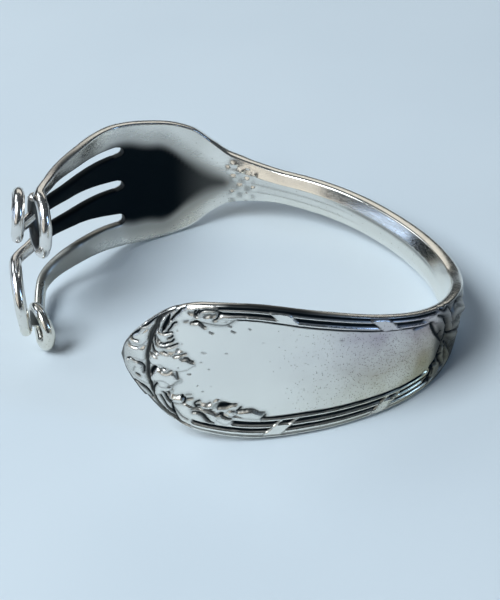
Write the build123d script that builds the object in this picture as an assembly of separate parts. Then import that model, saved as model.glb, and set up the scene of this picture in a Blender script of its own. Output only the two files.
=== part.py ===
from build123d import *
import os
import numpy as np

# A plated dinner fork, bent into an open cuff and laid on its side.
# The fork is drawn flat first: u runs from the handle's tip to the tines, v from the lower edge to
# the upper edge, n stands out from the wrist. Then the flat fork is bent along its plan line.

# Lengths along the flat fork, mm
PANEL_LENGTH = 62.0
STEM_LENGTH = 50.0
BOWL_LENGTH = 20.0
TINE_REACH = 32.0

# Widths over the edges, mm
PANEL_WIDTH = 22.0
STEM_WIDTH = 5.5
BOWL_WIDTH = 21.2
TINE_WIDTH = 4.0
SLOT_DEPTH = 1.6

# Thicknesses, mm
PANEL_THICK = 2.0
PANEL_EDGE = 1.1
STEM_THICK = 3.4
STEM_EDGE = 1.8
BOWL_THICK = 1.7
SCROLL_THICK = 1.9
EDGE_ROUND = 0.22
SCROLL_ROUND = 0.40
FRONT_CROWN = 0.3

# How far the bowl's edges stand in from its middle, mm, and how far it leans out at the top, degrees
BOWL_DISH = 0.9
BOWL_LEAN = 7.0

# How the cuff leans over on its side at rest, degrees: to the right and to the front
REST_RIGHT = 9.65
REST_FRONT = 4.5

# Relief above the plain panel, mm
BORDER_WIDTH = 3.5
REED_HEIGHT = 0.45
RIBBON_HEIGHT = 0.40
RIBBON_WIDTH = 2.2
LEAF_HEIGHT = 0.70
NECK_BEAD = 0.35

# Rows of the skin: distance from one to the next, mm
FINE_STEP = 0.85
PANEL_STEP = 1.5
STEM_STEP = 2.4
BOWL_STEP = 1.7
TINE_STEP = 2.6
SCROLL_STEP = 13.0

REGIONS = {"panel": (0.0, PANEL_LENGTH)}
REGIONS["stem"] = (PANEL_LENGTH, STEM_LENGTH)
REGIONS["bowl"] = (PANEL_LENGTH + STEM_LENGTH, BOWL_LENGTH)
REGIONS["tines"] = (PANEL_LENGTH + STEM_LENGTH + BOWL_LENGTH, TINE_REACH)

# Direction of the plan line at each place, degrees from +X, turning to the left
# (region, share of its length, direction)
TURNS = [
    ("panel", 0.00, -27.0),
    ("panel", 0.15, -14.0),
    ("panel", 0.30, -0.5),
    ("panel", 0.45, 9.5),
    ("panel", 0.60, 23.0),
    ("panel", 0.75, 48.5),
    ("panel", 0.88, 76.0),
    ("stem", 0.00, 97.0),
    ("stem", 0.25, 121.0),
    ("stem", 0.50, 137.0),
    ("stem", 0.75, 156.0),
    ("bowl", 0.00, 169.5),
    ("bowl", 0.45, 194.0),
    ("bowl", 0.90, 206.5),
    ("tines", 0.31, 237.5),
    ("tines", 0.68, 278.0),
    ("tines", 1.00, 285.0),
]

# Half width at each place
# (region, share of its length, share of the panel's width, of the stem's width, of the bowl's width)
WIDTHS = [
    ("panel", 0.000, 0.030, 0.00, 0.000),
    ("panel", 0.015, 0.084, 0.00, 0.000),
    ("panel", 0.040, 0.174, 0.00, 0.000),
    ("panel", 0.080, 0.299, 0.00, 0.000),
    ("panel", 0.130, 0.412, 0.00, 0.000),
    ("panel", 0.200, 0.483, 0.00, 0.000),
    ("panel", 0.300, 0.500, 0.00, 0.000),
    ("panel", 0.450, 0.448, 0.00, 0.000),
    ("panel", 0.600, 0.368, 0.00, 0.000),
    ("panel", 0.750, 0.290, 0.00, 0.000),
    ("panel", 0.880, 0.155, 0.33, 0.000),
    ("stem", 0.000, 0.000, 0.68, 0.000),
    ("stem", 0.150, 0.000, 0.56, 0.000),
    ("stem", 0.400, 0.000, 0.50, 0.000),
    ("stem", 0.800, 0.000, 0.49, 0.000),
    ("stem", 0.920, 0.000, 0.61, 0.000),
    ("bowl", 0.000, 0.000, 0.00, 0.203),
    ("bowl", 0.145, 0.000, 0.00, 0.284),
    ("bowl", 0.335, 0.000, 0.00, 0.408),
    ("bowl", 0.575, 0.000, 0.00, 0.474),
    ("bowl", 0.900, 0.000, 0.00, 0.500),
    ("bowl", 1.000, 0.000, 0.00, 0.498),
]

# Thickness in the middle and at the edges
# (region, share, share of panel, of stem, of bowl)
THICKNESSES = [
    ("panel", 0.0, 1.0, 0.0, 0.0),
    ("panel", 0.7, 1.0, 0.0, 0.0),
    ("stem", 0.0, 0.0, 1.0, 0.0),
    ("stem", 0.8, 0.0, 0.9, 0.0),
    ("bowl", 0.4, 0.0, 0.0, 1.0),
    ("bowl", 1.0, 0.0, 0.0, 1.0),
]

# Share of the lean and of the dish that each place has
# (region, share, lean, dish)
BOWL_FORM = [
    ("panel", 0.00, 0.0, 0.0),
    ("stem", 0.75, 0.0, 0.0),
    ("bowl", 0.30, 1.0, 1.0),
    ("tines", 0.00, 1.0, 1.0),
    ("tines", 0.50, 0.2, 1.0),
    ("tines", 0.75, 0.0, 1.0),
]

# Border of the panel, from the edge inwards
# (line, share of the border's width, share of the reed's height)
BORDER = [
    ("edge", 0.00, 0.00),
    ("rim", 0.08, 0.90),
    ("thin groove", 0.20, 0.45),
    ("outer reed", 0.32, 1.00),
    ("deep groove", 0.48, 0.00),
    ("inner reed", 0.64, 1.00),
    ("narrow groove", 0.78, 0.15),
    ("bead", 0.88, 0.60),
    ("field", 1.00, 0.00),
]

# Ribbons that cross the reeds: (edge, share of the panel's length where it starts)
RIBBONS = [
    ("lower", 0.345),
    ("upper", 0.345),
    ("lower", 0.590),
    ("upper", 0.590),
]

# Raised leaves: root and tip as shares of the panel's length and half width,
# half breadth as a share of the panel's half width, height as a share of the leaf's height
# (leaf, root along, root across, tip along, tip across, half breadth, height)
LEAVES = [
    ("shell middle", 0.070, 0.05, 0.012, 0.02, 0.150, 0.9),
    ("shell upper", 0.078, 0.30, 0.030, 0.30, 0.110, 0.8),
    ("shell lower", 0.078, -0.26, 0.030, -0.28, 0.110, 0.8),
    ("upper rim leaf", 0.105, 0.62, 0.050, 0.46, 0.090, 0.7),
    ("lower rim leaf", 0.105, -0.60, 0.050, -0.44, 0.090, 0.7),
    ("middle leaf", 0.082, 0.08, 0.182, 0.05, 0.150, 1.0),
    ("lower leaf", 0.084, -0.24, 0.155, -0.25, 0.130, 0.9),
    ("upper leaf", 0.088, 0.30, 0.148, 0.26, 0.085, 0.9),
    ("upper curl", 0.095, 0.45, 0.148, 0.40, 0.080, 0.8),
    ("upper corner leaf", 0.110, 0.58, 0.170, 0.74, 0.090, 0.9),
    ("lower corner leaf", 0.098, -0.48, 0.180, -0.48, 0.090, 0.9),
    ("upper sprig", 0.165, 0.74, 0.265, 0.78, 0.065, 0.7),
    ("lower sprig", 0.185, -0.62, 0.280, -0.48, 0.070, 0.9),
    ("lower sprig end", 0.270, -0.56, 0.345, -0.56, 0.060, 0.7),
    ("upper end leaf", 0.700, 0.50, 0.790, 0.02, 0.085, 0.8),
    ("lower end leaf", 0.700, -0.50, 0.790, -0.02, 0.085, 0.8),
    ("upper cross leaf", 0.790, 0.36, 0.870, -0.16, 0.085, 0.8),
    ("lower cross leaf", 0.800, -0.36, 0.880, 0.16, 0.085, 0.8),
]

# The ridge behind the leaves of the tip: place along at the middle, and how it sweeps back
RIDGE_PLACE = 0.066
RIDGE_SWEEP = 0.060
RIDGE_BREADTH = 0.016

# Run of each tine, from the lowest to the highest: middle across as a share of the bowl's half
# width, width and step outwards as shares of the tine's width
# (tine, share of the tines' reach, across, width, step outwards)
RUNS = [
    ("first", 0.00, -0.832, 0.870, 0.00),
    ("first", 0.31, -0.790, 0.880, -0.35),
    ("first", 0.575, -1.090, 0.680, 0.60),
    ("first", 0.84, -1.310, 0.580, 0.58),
    ("first", 0.925, -1.335, 0.550, 0.54),
    ("second", 0.00, -0.284, 0.990, 0.00),
    ("second", 0.31, -0.245, 0.700, -0.15),
    ("second", 0.63, -0.215, 0.570, 0.55),
    ("second", 0.79, -0.207, 0.540, 1.16),
    ("third", 0.00, 0.284, 0.990, 0.00),
    ("third", 0.31, 0.245, 0.700, -0.15),
    ("third", 0.60, 0.218, 0.570, 0.50),
    ("third", 0.74, 0.213, 0.540, 1.02),
    ("fourth", 0.00, 0.832, 0.870, 0.00),
    ("fourth", 0.31, 0.800, 0.850, -0.42),
    ("fourth", 0.575, 0.775, 0.640, -0.12),
    ("fourth", 0.73, 0.777, 0.580, 0.22),
]

# Scroll at the end of each tine, in the tine's own face
# (tine, radius and end width as shares of the tine's width, turn in degrees, positive to the upper edge)
SCROLLS = [
    ("first", 0.73, 0.42, 300.0),
    ("second", 1.50, 0.40, -125.0),
    ("third", 0.83, 0.40, 290.0),
    ("fourth", 1.13, 0.42, -300.0),
]

PANEL_HALF = PANEL_WIDTH / 2
BOWL_HALF = BOWL_WIDTH / 2
SLOT_ROOT = REGIONS["bowl"][0] + BOWL_LENGTH
TINE_CELLS = 3
SLOT_CELLS = 3
FIELD_CELLS = 5


def place_along(region, share):
    """Distance from the handle's tip of a share of a region."""
    start, length = REGIONS[region]
    return start + share * length


def smooth(xs, ys, x):
    """A curve through the rows of a table that never overshoots them."""
    xs, ys = np.asarray(xs, float), np.asarray(ys, float)
    gap = np.diff(xs)
    slope = np.diff(ys) / gap
    before, after = slope[:-1], slope[1:]
    weigh_a, weigh_b = 2 * gap[1:] + gap[:-1], gap[1:] + 2 * gap[:-1]
    rising = before * after > 0
    safe_a, safe_b = np.where(rising, before, 1.0), np.where(rising, after, 1.0)
    inner = (weigh_a + weigh_b) / (weigh_a / safe_a + weigh_b / safe_b)
    tangent = np.concatenate([[slope[0]], np.where(rising, inner, 0.0), [slope[-1]]])
    i = np.clip(np.searchsorted(xs, x, side="right") - 1, 0, len(gap) - 1)
    t = np.clip((x - xs[i]) / gap[i], 0.0, 1.0)
    low = (1 + 2 * t) * (1 - t) ** 2 * ys[i] + t * (1 - t) ** 2 * gap[i] * tangent[i]
    high = t * t * (3 - 2 * t) * ys[i + 1] + t * t * (t - 1) * gap[i] * tangent[i + 1]
    return low + high


def read(rows, u, values):
    """Reads a table at the distances u, where values gives the number that a row holds."""
    xs = [place_along(row[0], row[1]) for row in rows]
    return smooth(xs, [values(row) for row in rows], u)


def ease(x, start, end):
    """Rises smoothly from 0 at start to 1 at end."""
    t = np.clip((x - start) / (end - start), 0.0, 1.0)
    return t * t * (3 - 2 * t)


def half_width(u):
    return read(WIDTHS, u, lambda r: r[2] * PANEL_WIDTH + r[3] * STEM_WIDTH + r[4] * BOWL_WIDTH)


def middle_thickness(u):
    return read(THICKNESSES, u, lambda r: r[2] * PANEL_THICK + r[3] * STEM_THICK + r[4] * BOWL_THICK)


def edge_thickness(u):
    return read(THICKNESSES, u, lambda r: r[2] * PANEL_EDGE + r[3] * STEM_EDGE + r[4] * BOWL_THICK)


def dish(u, v):
    """How far the middle of the metal stands out at (u, v): the bowl's edges stand in."""
    return -BOWL_DISH * read(BOWL_FORM, u, lambda r: r[3]) * np.minimum(np.abs(v) / BOWL_HALF, 1.0) ** 2


def plan_line(u):
    """Plan place and direction of the fork's middle line, added up in short straight steps."""
    far = SLOT_ROOT + 1.6 * TINE_REACH
    steps = np.linspace(0.0, far, 1200)
    heading = np.radians(read(TURNS, steps, lambda r: r[2]))
    half = (heading[1:] + heading[:-1]) / 2
    x = np.concatenate([[0.0], np.cumsum(np.cos(half) * np.diff(steps))])
    y = np.concatenate([[0.0], np.cumsum(np.sin(half) * np.diff(steps))])
    return np.interp(u, steps, x), np.interp(u, steps, y), np.interp(u, steps, heading)


def bend(u, v, n):
    """Where the flat point (u, v, n) lies once the fork is bent: v stands up, n points outwards."""
    x, y, heading = plan_line(u)
    lean = np.radians(BOWL_LEAN) * read(BOWL_FORM, u, lambda r: r[2])
    out = v * np.sin(lean) + n * np.cos(lean)
    up = v * np.cos(lean) - n * np.sin(lean)
    return np.stack([x + out * np.sin(heading), y - out * np.cos(heading), up], axis=-1)


def lay_down(corners):
    """Leans the upright cuff over as it rests and puts its box's bottom centre at the origin."""
    right, front = np.radians(REST_RIGHT), np.radians(REST_FRONT)
    turn_right = np.array([[np.cos(right), 0, np.sin(right)], [0, 1, 0],
                           [-np.sin(right), 0, np.cos(right)]])
    turn_front = np.array([[1, 0, 0], [0, np.cos(front), np.sin(front)],
                           [0, -np.sin(front), np.cos(front)]])
    laid = corners @ turn_right.T @ turn_front.T
    low, high = laid.min(axis=0), laid.max(axis=0)
    return laid - [(low[0] + high[0]) / 2, (low[1] + high[1]) / 2, low[2]]


def leaf(u, v, row):
    """Height of one leaf: a rounded blade from root to tip with a sunk midrib."""
    name, root_u, root_v, tip_u, tip_v, breadth, height = row
    du, dv = (tip_u - root_u) * PANEL_LENGTH, (tip_v - root_v) * PANEL_HALF
    length = np.hypot(du, dv)
    pu, pv = u - root_u * PANEL_LENGTH, v - root_v * PANEL_HALF
    along = (pu * du + pv * dv) / length ** 2
    across = (pv * du - pu * dv) / length
    blade = breadth * PANEL_HALF * np.sin(np.pi * np.clip(along, 0, 1) ** 0.7) + 1e-6
    side = np.abs(across) / blade
    body = np.sqrt(np.clip(1 - side ** 2, 0, 1)) * np.sin(np.pi * np.clip(along, 0, 1) ** 0.6)
    midrib = 0.25 * np.exp(-(side / 0.25) ** 2)
    return height * LEAF_HEIGHT * np.where(side < 1, body * (1 - midrib), 0.0)


def border(u, v):
    """Height of the reeds and of the ribbons that wind over them."""
    width = half_width(u)
    inward = (width - np.abs(v)) / border_width(u)
    xs, ys = [row[1] for row in BORDER], [row[2] for row in BORDER]
    reeds = REED_HEIGHT * np.interp(inward, xs, ys)
    for edge, start in RIBBONS:
        side = 1.0 if edge == "upper" else -1.0
        along = u - start * PANEL_LENGTH - inward * BORDER_WIDTH
        over = (np.abs(along - RIBBON_WIDTH / 2) < RIBBON_WIDTH / 2) & (side * v > 0)
        over &= (inward > 0.15) & (inward < 0.85)
        reeds = np.where(over, RIBBON_HEIGHT, reeds)
    shown = ease(u, 0.13 * PANEL_LENGTH, 0.19 * PANEL_LENGTH)
    shown = shown * (1 - ease(u, 0.72 * PANEL_LENGTH, 0.84 * PANEL_LENGTH))
    return reeds * shown


def border_width(u):
    """The border, narrowed where the fork is too slim for it."""
    width = half_width(u)
    return width - np.maximum(width - BORDER_WIDTH, 0.14 * width)


def relief(u, v):
    """Height of all the ornament above the plain front."""
    raised = border(u, v)
    sweep = RIDGE_PLACE + RIDGE_SWEEP * (v / PANEL_HALF) ** 2
    off_ridge = (u - sweep * PANEL_LENGTH) / (RIDGE_BREADTH * PANEL_LENGTH)
    raised = np.maximum(raised, LEAF_HEIGHT * np.exp(-off_ridge ** 2))
    for row in LEAVES:
        raised = np.maximum(raised, leaf(u, v, row))
    neck = place_along("stem", 0.97)
    return raised + NECK_BEAD * np.exp(-((u - neck) / 1.6) ** 2)


def crown(u, v):
    """How much the metal is thicker at (u, v) than at its edge: round on the panel, a roof on the stem."""
    roof = ease(u, 0.8 * PANEL_LENGTH, place_along("stem", 0.2))
    share = np.abs(v / half_width(u))
    return (middle_thickness(u) - edge_thickness(u)) * (1 - share ** (2 - 0.8 * roof))


def front_side(u, v):
    return dish(u, v) + edge_thickness(u) / 2 + FRONT_CROWN * crown(u, v) + relief(u, v)


def back_side(u, v):
    return dish(u, v) - edge_thickness(u) / 2 - (1 - FRONT_CROWN) * crown(u, v)


def handle_rows():
    """Distances of the rows from the handle's tip to the roots of the slots."""
    fine_end = 0.20 * PANEL_LENGTH
    neck = place_along("stem", 0.90)
    spans = [(0.0, fine_end, FINE_STEP), (fine_end, PANEL_LENGTH, PANEL_STEP),
             (PANEL_LENGTH, neck, STEM_STEP), (neck, SLOT_ROOT, BOWL_STEP)]
    rows = [np.linspace(a, b, max(2, round((b - a) / step)) + 1)[:-1] for a, b, step in spans]
    return np.concatenate(rows + [[SLOT_ROOT]])


def run_of(name, share):
    """Middle across, width and step outwards of a tine at shares of the tines' reach."""
    rows = [row for row in RUNS if row[0] == name]
    rows.append((name, rows[-1][1] + 1.0, *rows[-1][2:]))
    xs = [row[1] for row in rows]
    across, width, step = [smooth(xs, [row[k] for row in rows], share) for k in (2, 3, 4)]
    return across * BOWL_HALF, width * TINE_WIDTH, step * TINE_WIDTH


def tine_lines():
    """Places across, at the roots of the slots, of every line of the skin."""
    lines = []
    for name, *_ in SCROLLS:
        across, width, step = run_of(name, 0.0)
        lines += list(np.linspace(across - width / 2, across + width / 2, TINE_CELLS + 1))
        if name != SCROLLS[-1][0]:
            lines += [0.0] * (SLOT_CELLS - 1)
    lines = np.array(lines)
    for k in range(len(SCROLLS) - 1):
        first = k * (TINE_CELLS + SLOT_CELLS) + TINE_CELLS
        last = first + SLOT_CELLS
        lines[first:last + 1] = np.linspace(lines[first], lines[last], SLOT_CELLS + 1)
    lines[0], lines[-1] = -half_width(SLOT_ROOT), half_width(SLOT_ROOT)
    return lines


def handle_lines(u):
    """Places across of every line at the distances u: reeds, then even, then tines."""
    width = half_width(u)[:, None]
    shares = np.array([row[1] for row in BORDER])
    reeds = shares * border_width(u)[:, None]
    field = np.linspace(0, 1, FIELD_CELLS + 1)[1:-1]
    inner = width - border_width(u)[:, None]
    reeded = np.concatenate([reeds - width, inner * (2 * field - 1), width - reeds[:, ::-1]], axis=1)
    count = reeded.shape[1]
    even = width * np.linspace(-1, 1, count)
    tined = tine_lines() * width / half_width(SLOT_ROOT)
    to_reeds = ease(u, 0.14 * PANEL_LENGTH, 0.22 * PANEL_LENGTH)[:, None]
    to_tines = ease(u, place_along("stem", 0.3), SLOT_ROOT)[:, None]
    return (even * (1 - to_reeds) + reeded * to_reeds) * (1 - to_tines) + tined * to_tines


class Skin:
    """Corners and triangles of the closed surface."""

    def __init__(self):
        self.points = []
        self.faces = []

    def keep(self, xyz):
        """Adds corners and gives back their numbers in the same layout."""
        flat = xyz.reshape(-1, 3)
        start = len(self.points)
        self.points.extend(flat)
        return start + np.arange(len(flat)).reshape(xyz.shape[:-1])

    def join(self, a, b):
        """Joins two rows of corners with two triangles for each step."""
        for k in range(len(a) - 1):
            self.faces.append((a[k], b[k + 1], a[k + 1]))
            self.faces.append((a[k], b[k], b[k + 1]))

    def close(self, front, back, low, high):
        """Closes an end: front and back corners in line, with the rounded edges' corners."""
        self.join(front, back)
        self.faces.append((front[0], low, back[0]))
        self.faces.append((back[-1], high, front[-1]))


def add_handle(skin):
    """Handle, stem and bowl up to the slots; gives back the last row's corners."""
    u = handle_rows()
    v = handle_lines(u)
    along = np.repeat(u[:, None], v.shape[1], axis=1)
    for k in range(len(SCROLLS) - 1):
        first = k * (TINE_CELLS + SLOT_CELLS) + TINE_CELLS
        angle = np.pi * np.arange(1, SLOT_CELLS) / SLOT_CELLS
        along[-1, first + 1:first + SLOT_CELLS] -= SLOT_DEPTH * np.sin(angle)
    front = skin.keep(bend(along, v, front_side(along, v)))
    back = skin.keep(bend(along, v, back_side(along, v)))
    width = half_width(u) + EDGE_ROUND
    low = skin.keep(bend(u, -width, dish(u, width)))
    high = skin.keep(bend(u, width, dish(u, width)))
    for i in range(len(u) - 1):
        skin.join(front[i], front[i + 1])
        skin.join(back[i + 1], back[i])
        skin.join([low[i], front[i, 0]], [low[i + 1], front[i + 1, 0]])
        skin.join([back[i, 0], low[i]], [back[i + 1, 0], low[i + 1]])
        skin.join([front[i, -1], high[i]], [front[i + 1, -1], high[i + 1]])
        skin.join([high[i], back[i, -1]], [high[i + 1], back[i + 1, -1]])
    skin.close(back[0], front[0], low[0], high[0])
    return front[-1], back[-1], low[-1], high[-1], along[-1], v[-1]


def tine_line(row):
    """Middle line of a tine in the flat: places, direction, width, thickness, rounding, step out."""
    name, radius, end_width, turn = row
    start = max(run[1] for run in RUNS if run[0] == name)
    shares = np.linspace(0.0, start, max(2, round(start * TINE_REACH / TINE_STEP)) + 1)
    across, width, step = run_of(name, shares)
    count = max(3, round(abs(turn) / SCROLL_STEP))
    angle = np.radians(np.linspace(0.0, turn, count + 1)[1:])
    curl = radius * TINE_WIDTH * np.sign(turn)
    u = SLOT_ROOT + shares * TINE_REACH
    u = np.concatenate([u, u[-1] + curl * np.sin(angle)])
    v = np.concatenate([across, across[-1] + curl * (1 - np.cos(angle))])
    direction = np.concatenate([0 * shares, angle])
    rolled = np.arange(1, count + 1) / count
    width = np.concatenate([width, width[-1] + (end_width * TINE_WIDTH - width[-1]) * rolled])
    step = np.concatenate([step, step[-1] + 0 * rolled])
    share = np.concatenate([shares / start, 1 + 0 * rolled])
    thick = BOWL_THICK + (SCROLL_THICK - BOWL_THICK) * share
    rounding = EDGE_ROUND + (SCROLL_ROUND - EDGE_ROUND) * share
    return u, v, direction, width, thick, rounding, step


def add_tine(skin, row, front, back, low, high):
    """One tine with its scroll, from the corners that it starts from."""
    u, v, direction, width, thick, rounding, step = tine_line(row)
    across = np.linspace(-1, 1, TINE_CELLS + 1)
    for i in range(1, len(u)):
        tip = 0.55 if i == len(u) - 1 else 1.0
        half = tip * width[i] / 2
        reach = np.concatenate([[-half], across * (half - rounding[i] * tip), [half]])
        pu = u[i] - np.sin(direction[i]) * reach
        pv = v[i] + np.cos(direction[i]) * reach
        middle = dish(pu, pv) + step[i]
        out = tip * thick[i] / 2
        new_front = skin.keep(bend(pu[1:-1], pv[1:-1], middle[1:-1] + out))
        new_back = skin.keep(bend(pu[1:-1], pv[1:-1], middle[1:-1] - out))
        edges = skin.keep(bend(pu[[0, -1]], pv[[0, -1]], middle[[0, -1]]))
        skin.join(front, new_front)
        skin.join(new_back, back)
        skin.join([low, front[0]], [edges[0], new_front[0]])
        skin.join([back[0], low], [new_back[0], edges[0]])
        skin.join([front[-1], high], [new_front[-1], edges[1]])
        skin.join([high, back[-1]], [edges[1], new_back[-1]])
        front, back, low, high = new_front, new_back, edges[0], edges[1]
    skin.close(front, back, low, high)


def add_slot_root(skin, front, back, u, v):
    """The rounded root of a slot; gives back its rounded edge's corners."""
    middle = v.mean()
    out = np.hypot(u - SLOT_ROOT, v - middle) + 1e-9
    tuck = 1 - EDGE_ROUND / out
    pu, pv = SLOT_ROOT + (u - SLOT_ROOT) * tuck, middle + (v - middle) * tuck
    edge = skin.keep(bend(pu, pv, dish(pu, pv)))
    skin.join(front, edge)
    skin.join(edge, back)
    return edge


def fork_cuff():
    """The whole cuff as one closed solid, its box's bottom centre at the origin."""
    skin = Skin()
    front, back, low, high, u, v = add_handle(skin)
    edges = [low]
    for k in range(len(SCROLLS) - 1):
        first = k * (TINE_CELLS + SLOT_CELLS) + TINE_CELLS
        cells = slice(first, first + SLOT_CELLS + 1)
        root = add_slot_root(skin, front[cells], back[cells], u[cells], v[cells])
        edges += [root[0], root[-1]]
    edges.append(high)
    for k, row in enumerate(SCROLLS):
        first = k * (TINE_CELLS + SLOT_CELLS)
        cells = slice(first, first + TINE_CELLS + 1)
        add_tine(skin, row, front[cells], back[cells], edges[2 * k], edges[2 * k + 1])
    corners = lay_down(np.array(skin.points))
    triangles = [Face(Wire.make_polygon([Vector(*corners[k]) for k in face], close=True))
                 for face in skin.faces]
    return Solid(Shell(triangles))


os.makedirs("parts", exist_ok=True)
export_step(fork_cuff(), "parts/fork_cuff.step", write_pcurves=False)
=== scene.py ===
import bpy
import numpy as np
from mathutils import Matrix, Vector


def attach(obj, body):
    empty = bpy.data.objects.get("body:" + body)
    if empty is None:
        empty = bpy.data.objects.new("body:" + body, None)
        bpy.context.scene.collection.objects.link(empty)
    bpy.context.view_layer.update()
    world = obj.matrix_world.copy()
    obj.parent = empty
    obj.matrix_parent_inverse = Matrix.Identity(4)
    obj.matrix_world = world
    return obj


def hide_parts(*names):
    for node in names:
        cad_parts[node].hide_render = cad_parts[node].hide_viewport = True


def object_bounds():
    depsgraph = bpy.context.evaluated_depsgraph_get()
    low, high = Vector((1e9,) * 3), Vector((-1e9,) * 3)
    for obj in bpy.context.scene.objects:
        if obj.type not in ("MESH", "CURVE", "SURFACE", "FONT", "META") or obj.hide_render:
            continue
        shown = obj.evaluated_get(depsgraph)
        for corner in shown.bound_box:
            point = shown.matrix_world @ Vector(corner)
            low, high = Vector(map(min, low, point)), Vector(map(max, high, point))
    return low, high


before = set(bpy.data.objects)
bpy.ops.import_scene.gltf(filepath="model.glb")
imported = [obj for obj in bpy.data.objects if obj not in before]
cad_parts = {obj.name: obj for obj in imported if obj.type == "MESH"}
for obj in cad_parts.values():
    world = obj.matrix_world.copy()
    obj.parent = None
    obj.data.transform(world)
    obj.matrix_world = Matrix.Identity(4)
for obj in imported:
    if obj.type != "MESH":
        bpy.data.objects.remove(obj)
cad_box = [list(corner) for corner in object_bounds()]

# A plated fork bent into an open cuff, one piece of metal. It is drawn flat and then bent, as it was
# made: u runs from the handle's tip to the tines, v from the lower edge to the upper edge, n stands
# out from the wrist. Lengths are in millimetres until the mesh is written.

MM = 0.001

PANEL_LENGTH, STEM_LENGTH, BOWL_LENGTH, TINE_REACH = 62.0, 50.0, 20.0, 32.0
PANEL_WIDTH, STEM_WIDTH, BOWL_WIDTH, TINE_WIDTH = 22.0, 5.5, 21.2, 4.0
PANEL_THICK, PANEL_EDGE = 2.0, 1.1
STEM_THICK, STEM_EDGE = 3.4, 1.8
BOWL_THICK, SCROLL_THICK = 1.7, 1.9
EDGE_ROUND, SCROLL_ROUND = 0.22, 0.75
FRONT_CROWN = 0.3
BOWL_DISH, BOWL_LEAN = 0.9, 7.0
REST_RIGHT, REST_FRONT = 9.65, 4.5
TIP_START, TIP_ROUND, TIP_ROUND_LENGTH = 0.90, 3.2, 1.15
# How far each slot's root curves back from the tines' start, and the rows that follow it
SLOT_DEPTHS, BOW_LENGTH = (0.95, 1.30, 1.50), 6.0
NECK_BEAD, NECK_BEAD_LENGTH, SMALL_BEADS = 0.35, 1.6, 0.20
# Share of its metal that the roof of the stem loses where it is cut flat
ROOF_FLAT = 0.34

REGIONS = {
    "panel": (0.0, PANEL_LENGTH),
    "stem": (PANEL_LENGTH, STEM_LENGTH),
    "bowl": (PANEL_LENGTH + STEM_LENGTH, BOWL_LENGTH),
    "tines": (PANEL_LENGTH + STEM_LENGTH + BOWL_LENGTH, TINE_REACH),
}
SLOT_ROOT = REGIONS["tines"][0]
BOWL_HALF = BOWL_WIDTH / 2

# Direction of the plan line, degrees from +X: region: [(share of its length, direction)]
TURNS = {
    "panel": [(0, -27), (0.15, -14), (0.3, -0.5), (0.45, 9.5), (0.6, 23), (0.75, 48.5), (0.88, 76)],
    "stem": [(0, 97), (0.25, 121), (0.5, 137), (0.75, 156)],
    "bowl": [(0, 169.5), (0.45, 194), (0.9, 206.5)],
    "tines": [(0.31, 237.5), (0.68, 278), (1, 285)],
}

# Half width: region: [(share, share of the panel's width, of the stem's, of the bowl's)]
WIDTHS = {
    "panel": [(0, 0.03, 0, 0), (0.015, 0.084, 0, 0), (0.04, 0.174, 0, 0), (0.08, 0.299, 0, 0),
        (0.13, 0.412, 0, 0), (0.2, 0.483, 0, 0), (0.3, 0.5, 0, 0), (0.45, 0.448, 0, 0),
        (0.6, 0.368, 0, 0), (0.75, 0.29, 0, 0), (0.88, 0.155, 0.33, 0)],
    "stem": [(0, 0, 0.68, 0), (0.15, 0, 0.56, 0), (0.4, 0, 0.5, 0), (0.8, 0, 0.49, 0),
        (0.92, 0, 0.61, 0)],
    "bowl": [(0, 0, 0, 0.203), (0.145, 0, 0, 0.284), (0.335, 0, 0, 0.408), (0.575, 0, 0, 0.474),
        (0.9, 0, 0, 0.5), (1, 0, 0, 0.498)],
}

# Thickness: region: [(share, share of the panel's, of the stem's, of the bowl's)]
THICKNESSES = {
    "panel": [(0, 1, 0, 0), (0.7, 1, 0, 0)],
    "stem": [(0, 0, 1, 0), (0.8, 0, 0.9, 0)],
    "bowl": [(0.4, 0, 0, 1), (1, 0, 0, 1)],
}

# Share of the bowl's lean and dish: region: [(share, lean, dish)]
BOWL_FORM = {
    "panel": [(0, 0, 0)],
    "stem": [(0.75, 0, 0)],
    "bowl": [(0.3, 1, 1)],
    "tines": [(0, 1, 1), (0.5, 0.2, 1), (0.75, 0, 1)],
}

# Painted dark reflection and tarnish on the wrist side, black where the bowl mirrors the dark room:
# region: [(share, its middle and its reach as shares of the half width)]
DARK_REFLECTION_AND_TARNISH_BAND = {
    "panel": [(0, -0.1, -0.2)],
    "stem": [(0.85, -0.12, -0.2), (0.98, -0.15, 0.12)],
    "bowl": [(0.18, -0.14, 0.36), (0.38, -0.1, 0.5), (0.65, -0.06, 0.76), (0.85, -0.01, 0.76)],
    "tines": [(0, 0.02, 0.72), (1, 0, 0.62)],
}

# Run of each tine, lowest first: [(share of the reach, middle across as a share of the bowl's half
# width, width and step outwards as shares of the tine's width)]
RUNS = {
    "first": [(0, -0.832, 0.87, 0), (0.31, -0.79, 0.88, -0.35), (0.575, -1.09, 0.68, 0.6),
        (0.84, -1.31, 0.58, 0.58), (0.925, -1.335, 0.55, 0.54)],
    "second": [(0, -0.284, 0.99, 0), (0.31, -0.245, 0.7, -0.15), (0.63, -0.215, 0.57, 0.55),
        (0.79, -0.207, 0.54, 1.16)],
    "third": [(0, 0.284, 0.99, 0), (0.31, 0.245, 0.7, -0.15), (0.6, 0.218, 0.57, 0.5),
        (0.74, 0.213, 0.54, 1.02)],
    "fourth": [(0, 0.832, 0.87, 0), (0.31, 0.8, 0.85, -0.42), (0.575, 0.775, 0.64, -0.12),
        (0.73, 0.777, 0.58, 0.22)],
}

# Scroll of each tine: (tine, radius and end width as shares of the tine's width, turn in degrees, tilt
# inwards as a share of the distance along, blackness painted on the tine's wrist side as a dark
# reflection)
SCROLLS = [
    ("first", 0.73, 0.42, 300, 0.3, 0.62),
    ("second", 1.5, 0.4, -125, 0, 1),
    ("third", 0.83, 0.4, 290, 0, 1),
    ("fourth", 1.13, 0.42, -300, 0.22, 0.4),
]

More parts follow.
